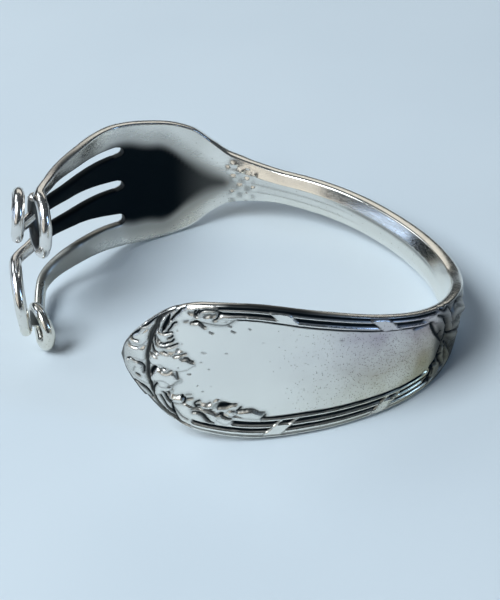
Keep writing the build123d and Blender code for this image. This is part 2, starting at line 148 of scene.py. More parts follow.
# Grooves between the reeds along both edges of the panel: (edge, distance from the edge, half width,
# depth, blackness, where it starts and ends along the panel)
GROOVES = [
    ("lower", 0.5, 0.14, 0.16, 0.6, 9.8, 60),
    ("lower", 1.45, 0.25, 0.36, 1, 11, 46.5),
    ("lower", 2.55, 0.3, 0.4, 1, 16.6, 45.5),
    ("lower", 3.55, 0.19, 0.26, 1, 20.6, 44.5),
    ("upper", 0.14, 0.22, 0.22, 1, 14, 46),
    ("upper", 1.06, 0.29, 0.4, 1, 14.2, 43.6),
    ("upper", 2.03, 0.2, 0.26, 1, 16.6, 44.6),
]
BORDER_WIDTH, REED_HEIGHT = 3.75, 0.30
# How far the reeds reach from the edge, and by how much they spread along it: [(u, factor)]
REEDS_END = {"lower": 3.62, "upper": 2.10}
LOWER_SPREAD = [(19.0, 1.06), (29.0, 1.00), (41.0, 0.86)]
UPPER_SPREAD = [(18.0, 0.90), (25.0, 1.00), (31.0, 1.00), (40.0, 0.88)]

# Ribbons over the reeds: (edge, where it starts at the edge, slant, width, distances from the edge
# between which its face covers the reeds, distance to which its two rims go on)
RIBBONS = [
    ("lower", 20.6, 0.95, 2.3, 0.55, 2.2, 3.1),
    ("upper", 20.8, 1, 2.6, 0.3, 1.45, 1.5),
    ("lower", 35.7, 0.9, 2.1, 0.35, 2.05, 3),
    ("upper", 34.7, 1.1, 2.6, 0.1, 1.95, 2.1),
]
RIBBON_LIFT, RIBBON_DIP, RIBBON_EDGE = 0.08, 0.10, 0.08
RIM_LIFT, RIM_HALF, RIM_SOOT_HALF = 0.22, 0.14, 0.11

# Lines cut by the die's engraver and black with age: (depth, blackness, [(u, v, half width)]).
# The points of the lines, leaves and pits were picked on the photograph and then laid on the handle along
# the camera's rays.
CARVED = {
    # Ridge and lobes of the tip
    "valley": (0.5, 0.8, [(8.5, 9.2, 0.13), (7.6, 8.56, 0.17), (6.7, 7.77, 0.23), (6.2, 6.95, 0.31),
        (6, 6.1, 0.35), (5.5, 5.15, 0.34), (5.2, 4.08, 0.3), (5, 3.01, 0.24), (4.8, 1.81, 0.23),
        (4.7, 0.4, 0.24), (4.7, -0.98, 0.25), (4.8, -2.34, 0.24), (5.1, -3.48, 0.21),
        (5.4, -4.83, 0.2), (5.7, -5.95, 0.17), (6.2, -6.88, 0.14), (7, -7.7, 0.13),
        (7.9, -8.41, 0.11), (8.8, -8.92, 0.1), (9.7, -9.58, 0.08), (10.9, -9.92, 0.06)]),
    "tip curl": (0.25, 0.9, [(2.4, 3.73, 0.08), (2.5, 3.29, 0.14), (2.8, 3.1, 0.13),
        (3.4, 3.08, 0.07)]),
    "tip crease": (0.2, 0.6, [(2, 2.47, 0.07), (2.3, 2.03, 0.13), (2.8, 1.88, 0.13),
        (3.3, 1.96, 0.06)]),
    "tip upper edge": (0.2, 0.9, [(2.4, 3.73, 0.11), (2.7, 4.09, 0.23), (3.2, 4.47, 0.23),
        (3.6, 4.82, 0.11)]),
    "tip rim line": (0.2, 0.9, [(3.9, 5.43, 0.1), (4.5, 5.74, 0.13), (5.1, 6.4, 0.11),
        (6, 7.54, 0.08)]),
    "lower lobe line": (0.22, 0.85, [(1.9, -0.37, 0.07), (2.3, -0.07, 0.13), (3, -0.36, 0.08),
        (3.6, -0.47, 0.11), (3.9, -0.7, 0.13), (4.2, -1.11, 0.11), (4.3, -1.88, 0.07)]),
    "lobe pit": (0.2, 0.9, [(3.2, -2.51, 0.08), (3.5, -2.61, 0.18), (3.7, -2.73, 0.08)]),
    "lobe crease": (0.1, 0.45, [(3, -1.37, 0.06), (2.8, -1.8, 0.11), (2.7, -2.19, 0.06)]),
    "rim inner line": (0.22, 0.85, [(2.9, -3.86, 0.07), (3.4, -4.07, 0.13), (4.1, -4.46, 0.13),
        (4.7, -5.06, 0.13), (5.1, -5.67, 0.11), (5.4, -6.23, 0.08)]),
    # Leaves beside the ridge
    "lens leaf": (0.35, 1, [(7.8, 8.27, 0.07), (7.6, 7.68, 0.23), (7.4, 7.01, 0.31),
        (7.1, 6.3, 0.28), (6.9, 5.51, 0.14)]),
    "upper split": (0.3, 0.9, [(9.9, 9.93, 0.07), (9.4, 9.54, 0.13), (9, 8.92, 0.18),
        (8.5, 8.27, 0.14), (8, 7.47, 0.07)]),
    "finger one line": (0.25, 0.9, [(8.8, 7.37, 0.07), (8.3, 6.93, 0.13), (8, 6.32, 0.13),
        (7.6, 5.68, 0.13)]),
    "finger one foot": (0.3, 1, [(6.2, 5.33, 0.07), (6.6, 5.13, 0.11), (7.1, 5.15, 0.17),
        (7.6, 5.36, 0.17), (8.2, 5.56, 0.08)]),
    "finger two side": (0.15, 0.7, [(5.8, 4.68, 0.07), (6.1, 4.16, 0.11), (6.4, 3.8, 0.07)]),
    "finger two foot": (0.3, 0.95, [(5.7, 4.36, 0.08), (5.8, 3.68, 0.11), (6, 3.22, 0.13),
        (6.5, 2.9, 0.11), (7.2, 2.95, 0.1), (8, 3.2, 0.13), (8.5, 3.55, 0.14), (9, 3.9, 0.07)]),
    "finger two top": (0.2, 0.9, [(6.7, 3.48, 0.06), (7.2, 3.49, 0.11), (7.7, 3.79, 0.08),
        (8.2, 4.07, 0.17), (8.5, 4.56, 0.1)]),
    "finger notch": (0.2, 0.9, [(8.3, 5.09, 0.06), (8.1, 4.71, 0.14), (7.7, 4.51, 0.07)]),
    "side crease": (0.3, 1, [(5.2, 3.53, 0.08), (5.4, 3.05, 0.15), (5.5, 2.51, 0.15),
        (5.7, 1.98, 0.13), (6.1, 1.73, 0.07)]),
    "side crease two": (0.15, 0.7, [(5, 1.74, 0.07), (5.4, 1.4, 0.11), (5.8, 1.2, 0.06)]),
    "leaf dot": (0.15, 0.85, [(7.1, 2.15, 0.07), (7.3, 2.11, 0.15), (7.5, 2.07, 0.07)]),
    "finger three notch": (0.15, 0.7, [(9.1, 3.05, 0.06), (8.9, 2.76, 0.13), (8.8, 2.57, 0.07)]),
    "finger three foot": (0.2, 0.7, [(8.7, 1.96, 0.08), (9, 2.08, 0.15), (9.4, 2.3, 0.13),
        (9.8, 2.43, 0.13), (10.2, 2.56, 0.06)]),
    "centre leaf dot": (0.1, 0.6, [(9.6, 1.78, 0.07), (9.7, 1.7, 0.1), (9.8, 1.62, 0.06)]),
    "centre leaf top": (0.2, 1, [(10, 1.81, 0.07), (10.4, 1.84, 0.15), (10.7, 1.58, 0.11),
        (11.2, 1.42, 0.06)]),
    # Folds and lobes below them
    "low fold": (0.4, 1, [(5.2, -2.29, 0.14), (5.3, -1.76, 0.27), (5.6, -1.17, 0.27),
        (6, -0.75, 0.23), (6.4, -0.79, 0.2), (6.7, -0.96, 0.15), (6.9, -1.13, 0.08)]),
    "low fold dot": (0.2, 0.8, [(7.1, -0.54, 0.07), (7.2, -0.62, 0.14), (7.4, -0.63, 0.07)]),
    "low fold foot": (0.15, 0.6, [(6.8, -1.27, 0.06), (7.3, -1.33, 0.08), (7.7, -1.21, 0.08),
        (8, -0.9, 0.13), (8.2, -0.75, 0.07)]),
    "low lobe notch": (0.2, 0.75, [(8.9, -0.86, 0.07), (9, -1.39, 0.14), (9.1, -1.65, 0.13),
        (9.2, -1.84, 0.06)]),
    "low lobe edge": (0.12, 0.45, [(9.4, -2.12, 0.06), (8.8, -2.74, 0.07), (8.5, -3.21, 0.08),
        (8.1, -3.47, 0.13), (7.8, -3.49, 0.07)]),
    "low lobe edge two": (0.1, 0.4, [(8.5, -3.29, 0.06), (8.3, -3.92, 0.08), (7.9, -4.49, 0.07)]),
    "low curl": (0.3, 0.95, [(6.2, -3.37, 0.08), (5.8, -4.01, 0.17), (5.6, -4.7, 0.21),
        (5.6, -5.28, 0.18)]),
    "low curl crease": (0.1, 0.5, [(5.8, -3.21, 0.06), (5.7, -3.5, 0.08), (5.5, -3.86, 0.04)]),
    "corner crease": (0.3, 0.95, [(6.6, -5.57, 0.06), (7, -6.25, 0.11), (7.4, -7.01, 0.14),
        (7.9, -7.59, 0.14), (8.4, -7.98, 0.14), (8.7, -8.36, 0.08)]),
    "corner fold": (0.35, 1, [(7.1, -4.69, 0.11), (7.3, -5.16, 0.21), (7.6, -5.68, 0.25),
        (8, -6.16, 0.2), (8.3, -6.68, 0.14), (8.4, -7.47, 0.2), (8.7, -8.19, 0.15),
        (9.1, -8.97, 0.1), (9.5, -9.49, 0.07)]),
    "corner hair line": (0.12, 0.6, [(8.3, -6.76, 0.06), (8.8, -7.46, 0.07), (9.3, -8, 0.07),
        (9.8, -8.45, 0.07), (10.6, -8.71, 0.04)]),
    "leaf root": (0.2, 0.8, [(7.7, -4.59, 0.07), (7.8, -4.79, 0.15), (8, -5.09, 0.08)]),
    "leaf root two": (0.15, 0.8, [(7.9, -5.8, 0.06), (8.2, -5.81, 0.1), (8.4, -5.71, 0.06)]),
    # Small leaves at the lower corner
    "bright leaf top": (0.12, 0.5, [(8.5, -5.06, 0.06), (8.8, -5.06, 0.08), (9.1, -4.96, 0.08),
        (9.4, -4.86, 0.04)]),
    "bright leaf end": (0.2, 0.9, [(9.8, -4.67, 0.07), (9.7, -4.92, 0.13), (9.9, -4.96, 0.07)]),
    "bright leaf tip": (0.25, 0.95, [(10.1, -5.01, 0.07), (10.2, -5.39, 0.11), (10, -5.98, 0.1)]),
    "bright leaf foot": (0.12, 0.5, [(8.3, -6.35, 0.04), (8.8, -6.35, 0.07), (9.5, -6.21, 0.07),
        (10, -5.98, 0.04)]),
    "end leaf": (0.2, 0.75, [(10.3, -5.32, 0.08), (10.5, -5.17, 0.17), (10.7, -5.12, 0.15),
        (11, -4.98, 0.13), (11.2, -4.91, 0.07)]),
    "end leaf top": (0.1, 0.5, [(10.3, -4.49, 0.04), (10.7, -4.28, 0.08), (11, -4.23, 0.04)]),
    # Lower sprig
    "sprig curl": (0.2, 0.9, [(12.2, -5.11, 0.06), (11.8, -5.36, 0.11), (11.5, -5.8, 0.13),
        (11.6, -6.1, 0.13), (11.9, -5.95, 0.08), (12.3, -5.79, 0.06)]),
    "sprig curl two": (0.2, 0.9, [(11.7, -6.31, 0.06), (12, -6.44, 0.13), (12.3, -6.37, 0.07)]),
    "sprig hair": (0.1, 0.6, [(11.1, -6.78, 0.04), (11.4, -6.64, 0.1), (11.8, -6.51, 0.04)]),
    "stalk": (0.3, 0.85, [(11.3, -7.2, 0.06), (11.8, -7.09, 0.14), (12.3, -7.14, 0.24),
        (12.8, -7.47, 0.3), (13.1, -7.88, 0.28), (13.4, -8.19, 0.25), (13.8, -8.51, 0.14),
        (14.2, -8.64, 0.06)]),
    "diamond leaf": (0.35, 1, [(14.7, -6.01, 0.08), (15, -5.73, 0.37), (15.4, -5.45, 0.52),
        (15.8, -5.36, 0.48), (16.2, -5.27, 0.32), (16.7, -5.18, 0.17), (17.2, -5.09, 0.06)]),
    "warm facet": (0.2, 0.45, [(14.1, -5.79, 0.08), (14.4, -5.6, 0.25), (14.6, -5.61, 0.31)]),
    "diamond root": (0.1, 0.7, [(13.2, -5.65, 0.06), (13.4, -5.46, 0.11), (13.7, -5.18, 0.06)]),
    "twig": (0.2, 0.8, [(13, -6.51, 0.06), (13.7, -6.75, 0.11), (14.2, -6.97, 0.13),
        (14.6, -7.19, 0.13), (14.9, -7.11, 0.08)]),
    "twig leaf": (0.25, 0.9, [(15, -7.01, 0.07), (15.3, -6.93, 0.2), (15.5, -7.23, 0.18),
        (15.9, -7.35, 0.17), (16.2, -7.46, 0.13), (16.6, -7.47, 0.06)]),
    "leaf two root": (0.25, 0.95, [(17.9, -5.5, 0.06), (17.7, -5.9, 0.13), (17.4, -6.19, 0.17),
        (17.9, -6.1, 0.14), (18.3, -6, 0.1), (18.7, -5.9, 0.07)]),
    "leaf two edge": (0.2, 0.85, [(18.7, -5.9, 0.07), (19.3, -5.79, 0.11), (19.9, -5.98, 0.13),
        (20.5, -6.35, 0.11), (21.1, -6.32, 0.06)]),
    "groove start fork": (0.15, 0.8, [(20.8, -7.23, 0.06), (21, -7.02, 0.11), (21.3, -6.71, 0.06)]),
    # Upper sprig
    "top leaf edge": (0.12, 0.6, [(12, 8.07, 0.04), (13.1, 8.07, 0.07), (14.1, 8.04, 0.07),
        (15.2, 8.11, 0.08), (15.8, 8.33, 0.07), (16.3, 8.75, 0.08), (16.6, 9.06, 0.08)]),
    "top twig": (0.3, 1, [(10.8, 7.75, 0.08), (11.3, 7.86, 0.21), (11.7, 8.03, 0.23),
        (12.1, 7.8, 0.18), (12.4, 7.53, 0.15), (12.7, 7.36, 0.07)]),
    "top twig root": (0.1, 0.6, [(9.9, 7.76, 0.04), (10.2, 7.86, 0.1), (10.4, 8.01, 0.04)]),
    "top brown patch": (0.2, 0.65, [(10.5, 9.52, 0.11), (10.8, 9.43, 0.21), (11.1, 9.51, 0.23),
        (11.3, 9.56, 0.13)]),
    "top leaf root": (0.3, 1, [(11.9, 10.07, 0.08), (11.7, 9.65, 0.17), (11.5, 9.23, 0.14),
        (11.6, 9.15, 0.08)]),
    "top leaf root two": (0.2, 0.9, [(11.5, 9.99, 0.08), (11.3, 9.66, 0.14), (11.3, 9.28, 0.08)]),
    "top leaf line": (0.2, 0.9, [(11.9, 9.59, 0.07), (12.2, 10.02, 0.13), (13, 10.3, 0.11),
        (13.9, 10.38, 0.11), (14.5, 10.23, 0.14)]),
    "top leaf shade": (0.2, 0.65, [(12.6, 9.58, 0.07), (12.8, 9.31, 0.17), (13.1, 9.53, 0.2),
        (13.4, 9.66, 0.17), (13.7, 9.48, 0.2), (14.1, 9.81, 0.11)]),
    "top leaf tail": (0.25, 0.9, [(14.7, 10.05, 0.18), (14.5, 9.55, 0.17), (14.3, 9.14, 0.1),
        (13.9, 8.82, 0.06)]),
    # Crossing leaves at the stem's end
    "field corner upper": (0.35, 1, [(41.9, 5.04, 0.1), (43.3, 5.11, 0.13), (44.6, 5.06, 0.2),
        (45.3, 4.01, 0.23), (45.9, 2.89, 0.21), (46.7, 1.79, 0.18), (47.6, 0.56, 0.14)]),
    "field corner lower": (0.35, 1, [(47.8, 0.06, 0.17), (47.4, -1.13, 0.21), (47, -2.35, 0.23),
        (46.2, -3.16, 0.28), (45.8, -4.13, 0.31), (45.5, -5, 0.27), (44.7, -5.16, 0.2)]),
    "curl arc": (0.3, 0.9, [(45.9, 5.71, 0.11), (47, 5.04, 0.18), (47.9, 4.04, 0.23),
        (48.4, 2.83, 0.21), (48.5, 1.77, 0.21), (48.3, 0.83, 0.23), (47.9, 0.22, 0.18)]),
    "curl inner": (0.2, 0.85, [(47.1, 2.63, 0.08), (46.8, 2.19, 0.14), (46.9, 1.49, 0.15),
        (47.6, 0.56, 0.1)]),
    "upper end line": (0.25, 0.95, [(46.6, 6.36, 0.13), (47.5, 5.83, 0.14), (48.2, 5.96, 0.11),
        (49, 5.3, 0.11), (49.3, 4.56, 0.11), (49.5, 3.95, 0.08)]),
    "wedge slit": (0.4, 1, [(61.8, -1.54, 0.08), (50.7, 5.31, 0.14), (50.2, 4.84, 0.21),
        (49.7, 4.41, 0.24), (49.5, 3.84, 0.14)]),
    "oval lobe foot": (0.2, 0.65, [(49.3, 2.88, 0.08), (50.6, 2.27, 0.11), (59.7, -3.53, 0.13),
        (52.5, 2.27, 0.11), (59.8, -1.94, 0.07)]),
    "crossing band": (0.3, 0.95, [(48.5, 1.55, 0.11), (49.6, 1.02, 0.17), (51, 0.37, 0.15),
        (57.5, -3.95, 0.14), (54.1, -0.19, 0.15)]),
    "outer band edge": (0.3, 0.9, [(57.2, -4.09, 0.15), (54.6, -3.27, 0.18), (52.9, -2.99, 0.17),
        (51, -2.51, 0.15)]),
    "knot": (0.35, 1, [(48.5, -0.06, 0.17), (49.4, -1.19, 0.31), (50.2, -2.34, 0.28),
        (50.7, -3.31, 0.17)]),
    "knot line": (0.2, 0.8, [(50.7, -0.68, 0.07), (50.4, -1.01, 0.13), (49.8, -1.29, 0.11)]),
    "low band line": (0.3, 0.95, [(48.6, -0.83, 0.1), (48.7, -1.87, 0.17), (49, -3.23, 0.17),
        (48.9, -4.38, 0.15), (48.1, -5.02, 0.15), (47.1, -5.31, 0.11)]),
    "low band lobe": (0.25, 0.9, [(47.7, -1.58, 0.08), (47.4, -2.21, 0.13), (47.9, -3.31, 0.14),
        (48.4, -4.43, 0.14), (48, -5.2, 0.11)]),
    "low band tail": (0.25, 0.85, [(46.4, -3.66, 0.11), (46.4, -4.3, 0.14), (46.2, -5.03, 0.14),
        (45.7, -5.68, 0.11)]),
}

# How far a carved line's shoulders and a groove's reach, as shares of the half width
CUT_SHOULDER, GROOVE_SHOULDER = 1.6, 1.9
# Half width below which a carved line would fall between the mesh's rows
NARROWEST = 0.17

# Raised leaves, lobes and rims of leaves: (height, [(u, v, half breadth)])
RAISED = {
    # Lobes of the tip
    "tip upper lobe": (0.5, [(1.5, 2.56, 0.2), (2.4, 2.95, 1), (3.2, 3.58, 1.1), (4.1, 4.2, 0.8),
        (4.7, 4.89, 0.3)]),
    "tip middle lobe": (0.5, [(1.2, 1.06, 0.5), (2.2, 0.95, 1.1), (3.1, 1.08, 1.2),
        (4.2, 1.27, 1)]),
    "tip lower lobe": (0.5, [(2, -1.03, 0.3), (2.6, -1.52, 0.8), (3.2, -1.83, 1), (4, -2.59, 0.9),
        (4.7, -3.62, 0.4)]),
    "tip lobe ridge": (0.35, [(2.5, -0.07, 0.12), (2.9, -0.16, 0.3), (3.3, -0.26, 0.3),
        (3.8, -0.29, 0.15)]),
    # Leaves beside the ridge
    "finger one ridge": (0.4, [(6.4, 5.96, 0.1), (6.5, 5.59, 0.28), (6.8, 5.38, 0.28),
        (7.1, 5.3, 0.12)]),
    "finger two ridge": (0.45, [(6, 3.63, 0.1), (6.3, 3.26, 0.25), (6.7, 3.11, 0.38),
        (7.2, 3.18, 0.35), (7.6, 3.28, 0.12)]),
    "side ridge": (0.22, [(5, 1.38, 0.08), (5.4, 1.08, 0.16), (5.9, 0.81, 0.18), (6.6, 0.66, 0.1)]),
    "finger three ridge": (0.4, [(8.7, 2.3, 0.1), (9, 2.43, 0.3), (9.4, 2.56, 0.3),
        (9.7, 2.69, 0.12)]),
    "centre leaf": (0.42, [(5.1, 0.37, 0.5), (6.3, 0.43, 1.1), (7.7, 0.73, 1.4), (9.1, 0.87, 1.3),
        (10.2, 0.91, 0.9), (11.3, 0.95, 0.15)]),
    # Folds and lobes below them
    "low fold ridge": (0.4, [(6.2, -0.63, 0.1), (6.5, -0.44, 0.28), (6.8, -0.37, 0.28),
        (7, -0.38, 0.1)]),
    "low fold ridge two": (0.42, [(6.8, -1.12, 0.1), (7.2, -1.01, 0.3), (7.5, -0.87, 0.35),
        (7.8, -0.73, 0.3), (8, -0.74, 0.1)]),
    "low lobe": (0.45, [(5.4, -2.86, 0.5), (6.4, -2.44, 1.2), (7.4, -2.21, 1.3), (8.3, -2.17, 1.1),
        (9.2, -2.1, 0.4)]),
    "low lobe two": (0.45, [(5.9, -5.22, 0.4), (6.4, -4.38, 0.9), (7, -3.89, 1), (7.7, -3.95, 0.7),
        (8.1, -4.21, 0.3)]),
    "bright leaf": (0.6, [(7.8, -5.11, 0.12), (8.3, -5.34, 0.45), (8.7, -5.54, 0.62),
        (9.2, -5.6, 0.6), (9.7, -5.46, 0.55), (10.1, -5.37, 0.2)]),
    # Lower and upper sprigs
    "sprig ridge": (0.5, [(11.9, -6.04, 0.12), (12.5, -5.9, 0.3), (13, -5.93, 0.4),
        (13.6, -5.86, 0.42), (14.1, -5.69, 0.3)]),
    "diamond rim": (0.35, [(13.8, -5.58, 0.08), (14.2, -5.11, 0.16), (14.6, -4.73, 0.16),
        (15.1, -4.64, 0.08)]),
    "leaf two body": (0.4, [(17.2, -6.69, 0.2), (18.1, -6.7, 0.5), (19, -6.6, 0.6),
        (20, -6.77, 0.5), (20.8, -6.93, 0.2)]),
    "lower leaf body": (0.35, [(14.9, -7.89, 0.2), (15.8, -8.04, 0.5), (16.6, -6.77, 0.5),
        (17.2, -6.39, 0.2)]),
    "top blade": (0.4, [(12, 9.32, 0.08), (12.4, 9.76, 0.2), (13, 10.01, 0.22), (13.7, 10.07, 0.2),
        (14.2, 10.11, 0.08)]),
    "top leaf body": (0.35, [(11.4, 8.54, 0.2), (12.7, 8.62, 0.5), (13.9, 8.52, 0.6),
        (15, 8.49, 0.5), (16.2, 8.85, 0.2)]),
    "upper finger body": (0.4, [(6.7, 7.48, 0.2), (6.9, 7.17, 0.5), (6.7, 6.44, 0.5),
        (6.5, 6.09, 0.2)]),
    # Crossing leaves at the stem's end
    "end curl body": (0.45, [(44.2, 5.85, 0.2), (45.4, 5.49, 0.5), (46.6, 4.51, 0.6),
        (47.4, 3.23, 0.5), (47.5, 1.98, 0.2)]),
    "end leaf body": (0.5, [(47.6, 5.59, 0.2), (48.7, 4.68, 0.4), (49.2, 3.43, 0.5),
        (49.4, 2.11, 0.5), (49.2, 1.52, 0.2)]),
    "oval lobe": (0.5, [(51.5, 5.01, 0.2), (61.4, -2.74, 0.6), (50.7, 3.58, 0.7), (50.3, 2.87, 0.5),
        (49.9, 2.68, 0.2)]),
    "oval lobe two": (0.4, [(53.2, 1.48, 0.2), (52.4, 0.96, 0.5), (50.8, 1.26, 0.5),
        (49.1, 1.85, 0.2)]),
    "cross body": (0.45, [(49, 0.98, 0.2), (50.1, 0.16, 0.5), (51.6, -0.82, 0.6),
        (52.5, -1.06, 0.3)]),
    "low band body": (0.5, [(48.7, -0.44, 0.2), (49.6, -2.05, 0.4), (50, -3.42, 0.5),
        (49.7, -4.3, 0.4), (48.9, -5.15, 0.2)]),
    "low band body two": (0.45, [(48, -0.73, 0.2), (47.9, -1.57, 0.35), (48.2, -2.84, 0.4),
        (48.5, -3.76, 0.3)]),
    "low band body three": (0.45, [(47, -2.86, 0.2), (47.5, -3.91, 0.3), (47.3, -4.72, 0.4),
        (46.8, -5.35, 0.3), (45.9, -5.77, 0.2)]),
}

# Share of its height that a leaf has at its middle, its dome's spread over its half breadth, and the
# share that a lower leaf under it adds; then the painted shade and tarnish at its foot, and how far that
# fades out
LEAF_LEVEL, LEAF_SPREAD, LEAF_OVERLAP = 0.76, 1.15, 0.25
FOOT_SHADE_AND_TARNISH, FOOT_FADE = 0.42, 0.16

# Larger pits and nicks in the plain field: (u, v at one end, u, v at the other, half width,
# blackness)
PITS = [
    (13.3, 6.72, 13.8, 6.56, 0.17, 0.85), (16.2, 7.26, 16.7, 7.07, 0.15, 0.9),
    (15.7, 8.13, 16.2, 7.95, 0.14, 0.85), (18.5, 7.8, 18.7, 7.7, 0.13, 0.55),
    (12.3, 3.18, 12.9, 3.2, 0.14, 0.5), (15.5, 3.47, 15.8, 3.47, 0.13, 0.55),
    (12.2, 1.54, 12.4, 1.55, 0.13, 0.5), (13.3, 0.58, 13.4, 0.49, 0.13, 0.6),
    (9.6, 4.1, 9.7, 4.03, 0.11, 0.6), (9.2, 0.17, 9.2, 0.09, 0.13, 0.7),
    (10.5, -0.83, 10.9, -0.75, 0.14, 0.85), (10.4, -0.28, 10.4, -0.37, 0.11, 0.3),
    (11.8, -2.68, 11.9, -2.49, 0.11, 0.55), (13.7, -2.25, 13.7, -2.25, 0.11, 0.45),
    (12.5, -3.48, 12.7, -3.39, 0.13, 0.55), (12.2, -5.11, 12.5, -5.03, 0.08, 0.35),
    (8.9, 6.12, 9, 6.15, 0.13, 0.4), (15.6, 8.82, 15.6, 8.72, 0.11, 0.4),
    (18, 9.7, 18.1, 9.5, 0.11, 0.3), (20.3, 5.57, 20.6, 5.56, 0.08, 0.25),
    (31, 5.68, 31.1, 5.41, 0.11, 0.5),
]
PIT_DEPTH = 0.12

TINE_CELLS, SLOT_CELLS, EDGE_CELLS = 10, 8, 7
BORDER_CELLS, FIELD_CELLS = 32, 64
ACROSS = 2 * BORDER_CELLS + FIELD_CELLS
# Spans of the mesh's rows and their distance apart, closest where the leaves and ribbons are
ROW_SPANS = [(TIP_START + 0.02, 1.4, 0.05), (1.4, 12.0, 0.105), (12.0, 25.5, 0.16), (25.5, 34.0, 0.5),
    (34.0, 38.5, 0.18), (38.5, 43.5, 0.4), (43.5, 54.0, 0.13), (54.0, PANEL_LENGTH, 0.5)]
STEM_ROWS, NECK_ROWS, BOWL_ROWS = 48, 28, 30
TINE_STEP, SCROLL_STEP = 0.55, 5.0

# Stretches along the fork: (grows from, to, fades from, to), all from the tip
REEDED = (8.5, 11.5, 46.0, 52.0)
# Brown tarnish, also painted shade for the darker floor mirrored towards the stem
STAINED_AND_SHADED = (20.0, 45.0, 47.0, 58.0)
# Painted shade over the crossing leaves at the stem's end
SHADED_CROSSING_LEAVES = (45.0, 47.0, 52.0, 60.0)
# The panel's lower side is painted dark as shade under its bottom edge
LOWER_SIDE_BLACK = (12.0, 16.0, 44.0, 50.0)
UPPER_SIDE_BLACK = (13.0, 16.0, 44.0, 48.0)
UPPER_SIDE_OUTER_BLACK = (15.5, 18.5, 25.0, 31.0)
# Painted dark reflections along a corner and two lines of the stem's wrist side
STEM_CORNER_BLACK = (62.0, 70.0, 86.0, 96.0)
STEM_LINES_BLACK = (84.0, 94.0, 106.0, 110.0)


def place_along(region, share):
    """Distance from the handle's tip: where the region starts plus its length times the share."""
    start, length = REGIONS[region]
    return start + share * length


def smooth(xs, ys, x):
    """Monotone cubic through the rows (xs, ys): each row's slope is the weighted harmonic mean of
    the slopes beside it, and 0 where they differ in sign, so the curve never overshoots."""
    xs, ys = np.asarray(xs, float), np.asarray(ys, float)
    gap = np.diff(xs)
    slope = np.diff(ys) / gap
    before, after = slope[:-1], slope[1:]
    weigh_a, weigh_b = 2 * gap[1:] + gap[:-1], gap[1:] + 2 * gap[:-1]
    rising = before * after > 0
    safe_a, safe_b = np.where(rising, before, 1.0), np.where(rising, after, 1.0)
    inner = (weigh_a + weigh_b) / (weigh_a / safe_a + weigh_b / safe_b)
    tangent = np.concatenate([[slope[0]], np.where(rising, inner, 0.0), [slope[-1]]])
    i = np.clip(np.searchsorted(xs, x, side="right") - 1, 0, len(gap) - 1)
    t = np.clip((x - xs[i]) / gap[i], 0.0, 1.0)
    low = (1 + 2 * t) * (1 - t) ** 2 * ys[i] + t * (1 - t) ** 2 * gap[i] * tangent[i]
    high = t * t * (3 - 2 * t) * ys[i + 1] + t * t * (t - 1) * gap[i] * tangent[i + 1]
    return low + high


def read(table, u, value):
    """A table's value at the distances u, by the monotone cubic through its rows."""
    rows = [(place_along(region, share), value(*columns))
            for region, part in table.items() for share, *columns in part]
    return smooth(*zip(*rows), u)


def ease(x, start, end):
    """0 before start, 1 after end, and 3t squared less 2t cubed between, with t the share."""
    t = np.clip((x - start) / (end - start), 0.0, 1.0)
    return t * t * (3 - 2 * t)


def past(x, place, half):
    """Eases from 0 to 1 across a place, from half a step before it to half a step after."""
    return ease(x, place - half, place + half)


def stretch(x, grow_from, grow_to, fade_from, fade_to):
    """Eases from 0 to 1 and back to 0."""
    return ease(x, grow_from, grow_to) * (1 - ease(x, fade_from, fade_to))


def half_width(u):
    """By the table, but rounded off at the tip: there the root of a rising share times 3.2 mm."""
    width = read(WIDTHS, u, lambda panel, stem, bowl:
                 panel * PANEL_WIDTH + stem * STEM_WIDTH + bowl * BOWL_WIDTH)
    tip = TIP_ROUND * np.sqrt(np.clip((u - TIP_START) / TIP_ROUND_LENGTH, 0.02, None))
    return np.minimum(width, tip + 3 * ease(u, 2.0, 4.0))


def middle_thickness(u):
    return read(THICKNESSES, u, lambda panel, stem, bowl:
                panel * PANEL_THICK + stem * STEM_THICK + bowl * BOWL_THICK)


def edge_thickness(u):
    return read(THICKNESSES, u, lambda panel, stem, bowl:
                panel * PANEL_EDGE + stem * STEM_EDGE + bowl * BOWL_THICK)


def dish(u, v):
    """The bowl's middle surface: it stands in by the dish times the square of the share across."""
    depth = BOWL_DISH * read(BOWL_FORM, u, lambda lean, share: share)
    return -depth * np.minimum(np.abs(v) / BOWL_HALF, 1.0) ** 2


def plan_line(u):
    """Plan place and direction at u: the direction's cosine and sine, added up along the fork."""
    steps = np.linspace(0.0, SLOT_ROOT + 1.6 * TINE_REACH, 1200)
    heading = np.radians(read(TURNS, steps, lambda direction: direction))
    half = (heading[1:] + heading[:-1]) / 2
    x = np.concatenate([[0.0], np.cumsum(np.cos(half) * np.diff(steps))])
    y = np.concatenate([[0.0], np.cumsum(np.sin(half) * np.diff(steps))])
    return np.interp(u, steps, x), np.interp(u, steps, y), np.interp(u, steps, heading)


def bend(u, v, n):
    """The flat point (u, v, n) on the bent fork: the plan line's place, plus v upwards and n to the
    right of its direction, both first turned outwards by the bowl's lean."""
    x, y, heading = plan_line(u)
    lean = np.radians(BOWL_LEAN) * read(BOWL_FORM, u, lambda share, dish: share)
    out = v * np.sin(lean) + n * np.cos(lean)
    up = v * np.cos(lean) - n * np.sin(lean)
    return np.stack([x + out * np.sin(heading), y - out * np.cos(heading), up], axis=-1)


def lay_down(corners):
    """Turns the upright cuff to the right and to the front, as it leans at rest."""
    right, front = np.radians(REST_RIGHT), np.radians(REST_FRONT)
    turn_right = np.array([[np.cos(right), 0, np.sin(right)], [0, 1, 0],
                           [-np.sin(right), 0, np.cos(right)]])
    turn_front = np.array([[1, 0, 0], [0, np.cos(front), np.sin(front)],
                           [0, -np.sin(front), np.cos(front)]])
    return corners @ turn_right.T @ turn_front.T


def border_width(u):
    """The border's width, narrowed where the fork is too slim for it."""
    width = half_width(u)
    return width - np.maximum(width - BORDER_WIDTH, 0.14 * width)


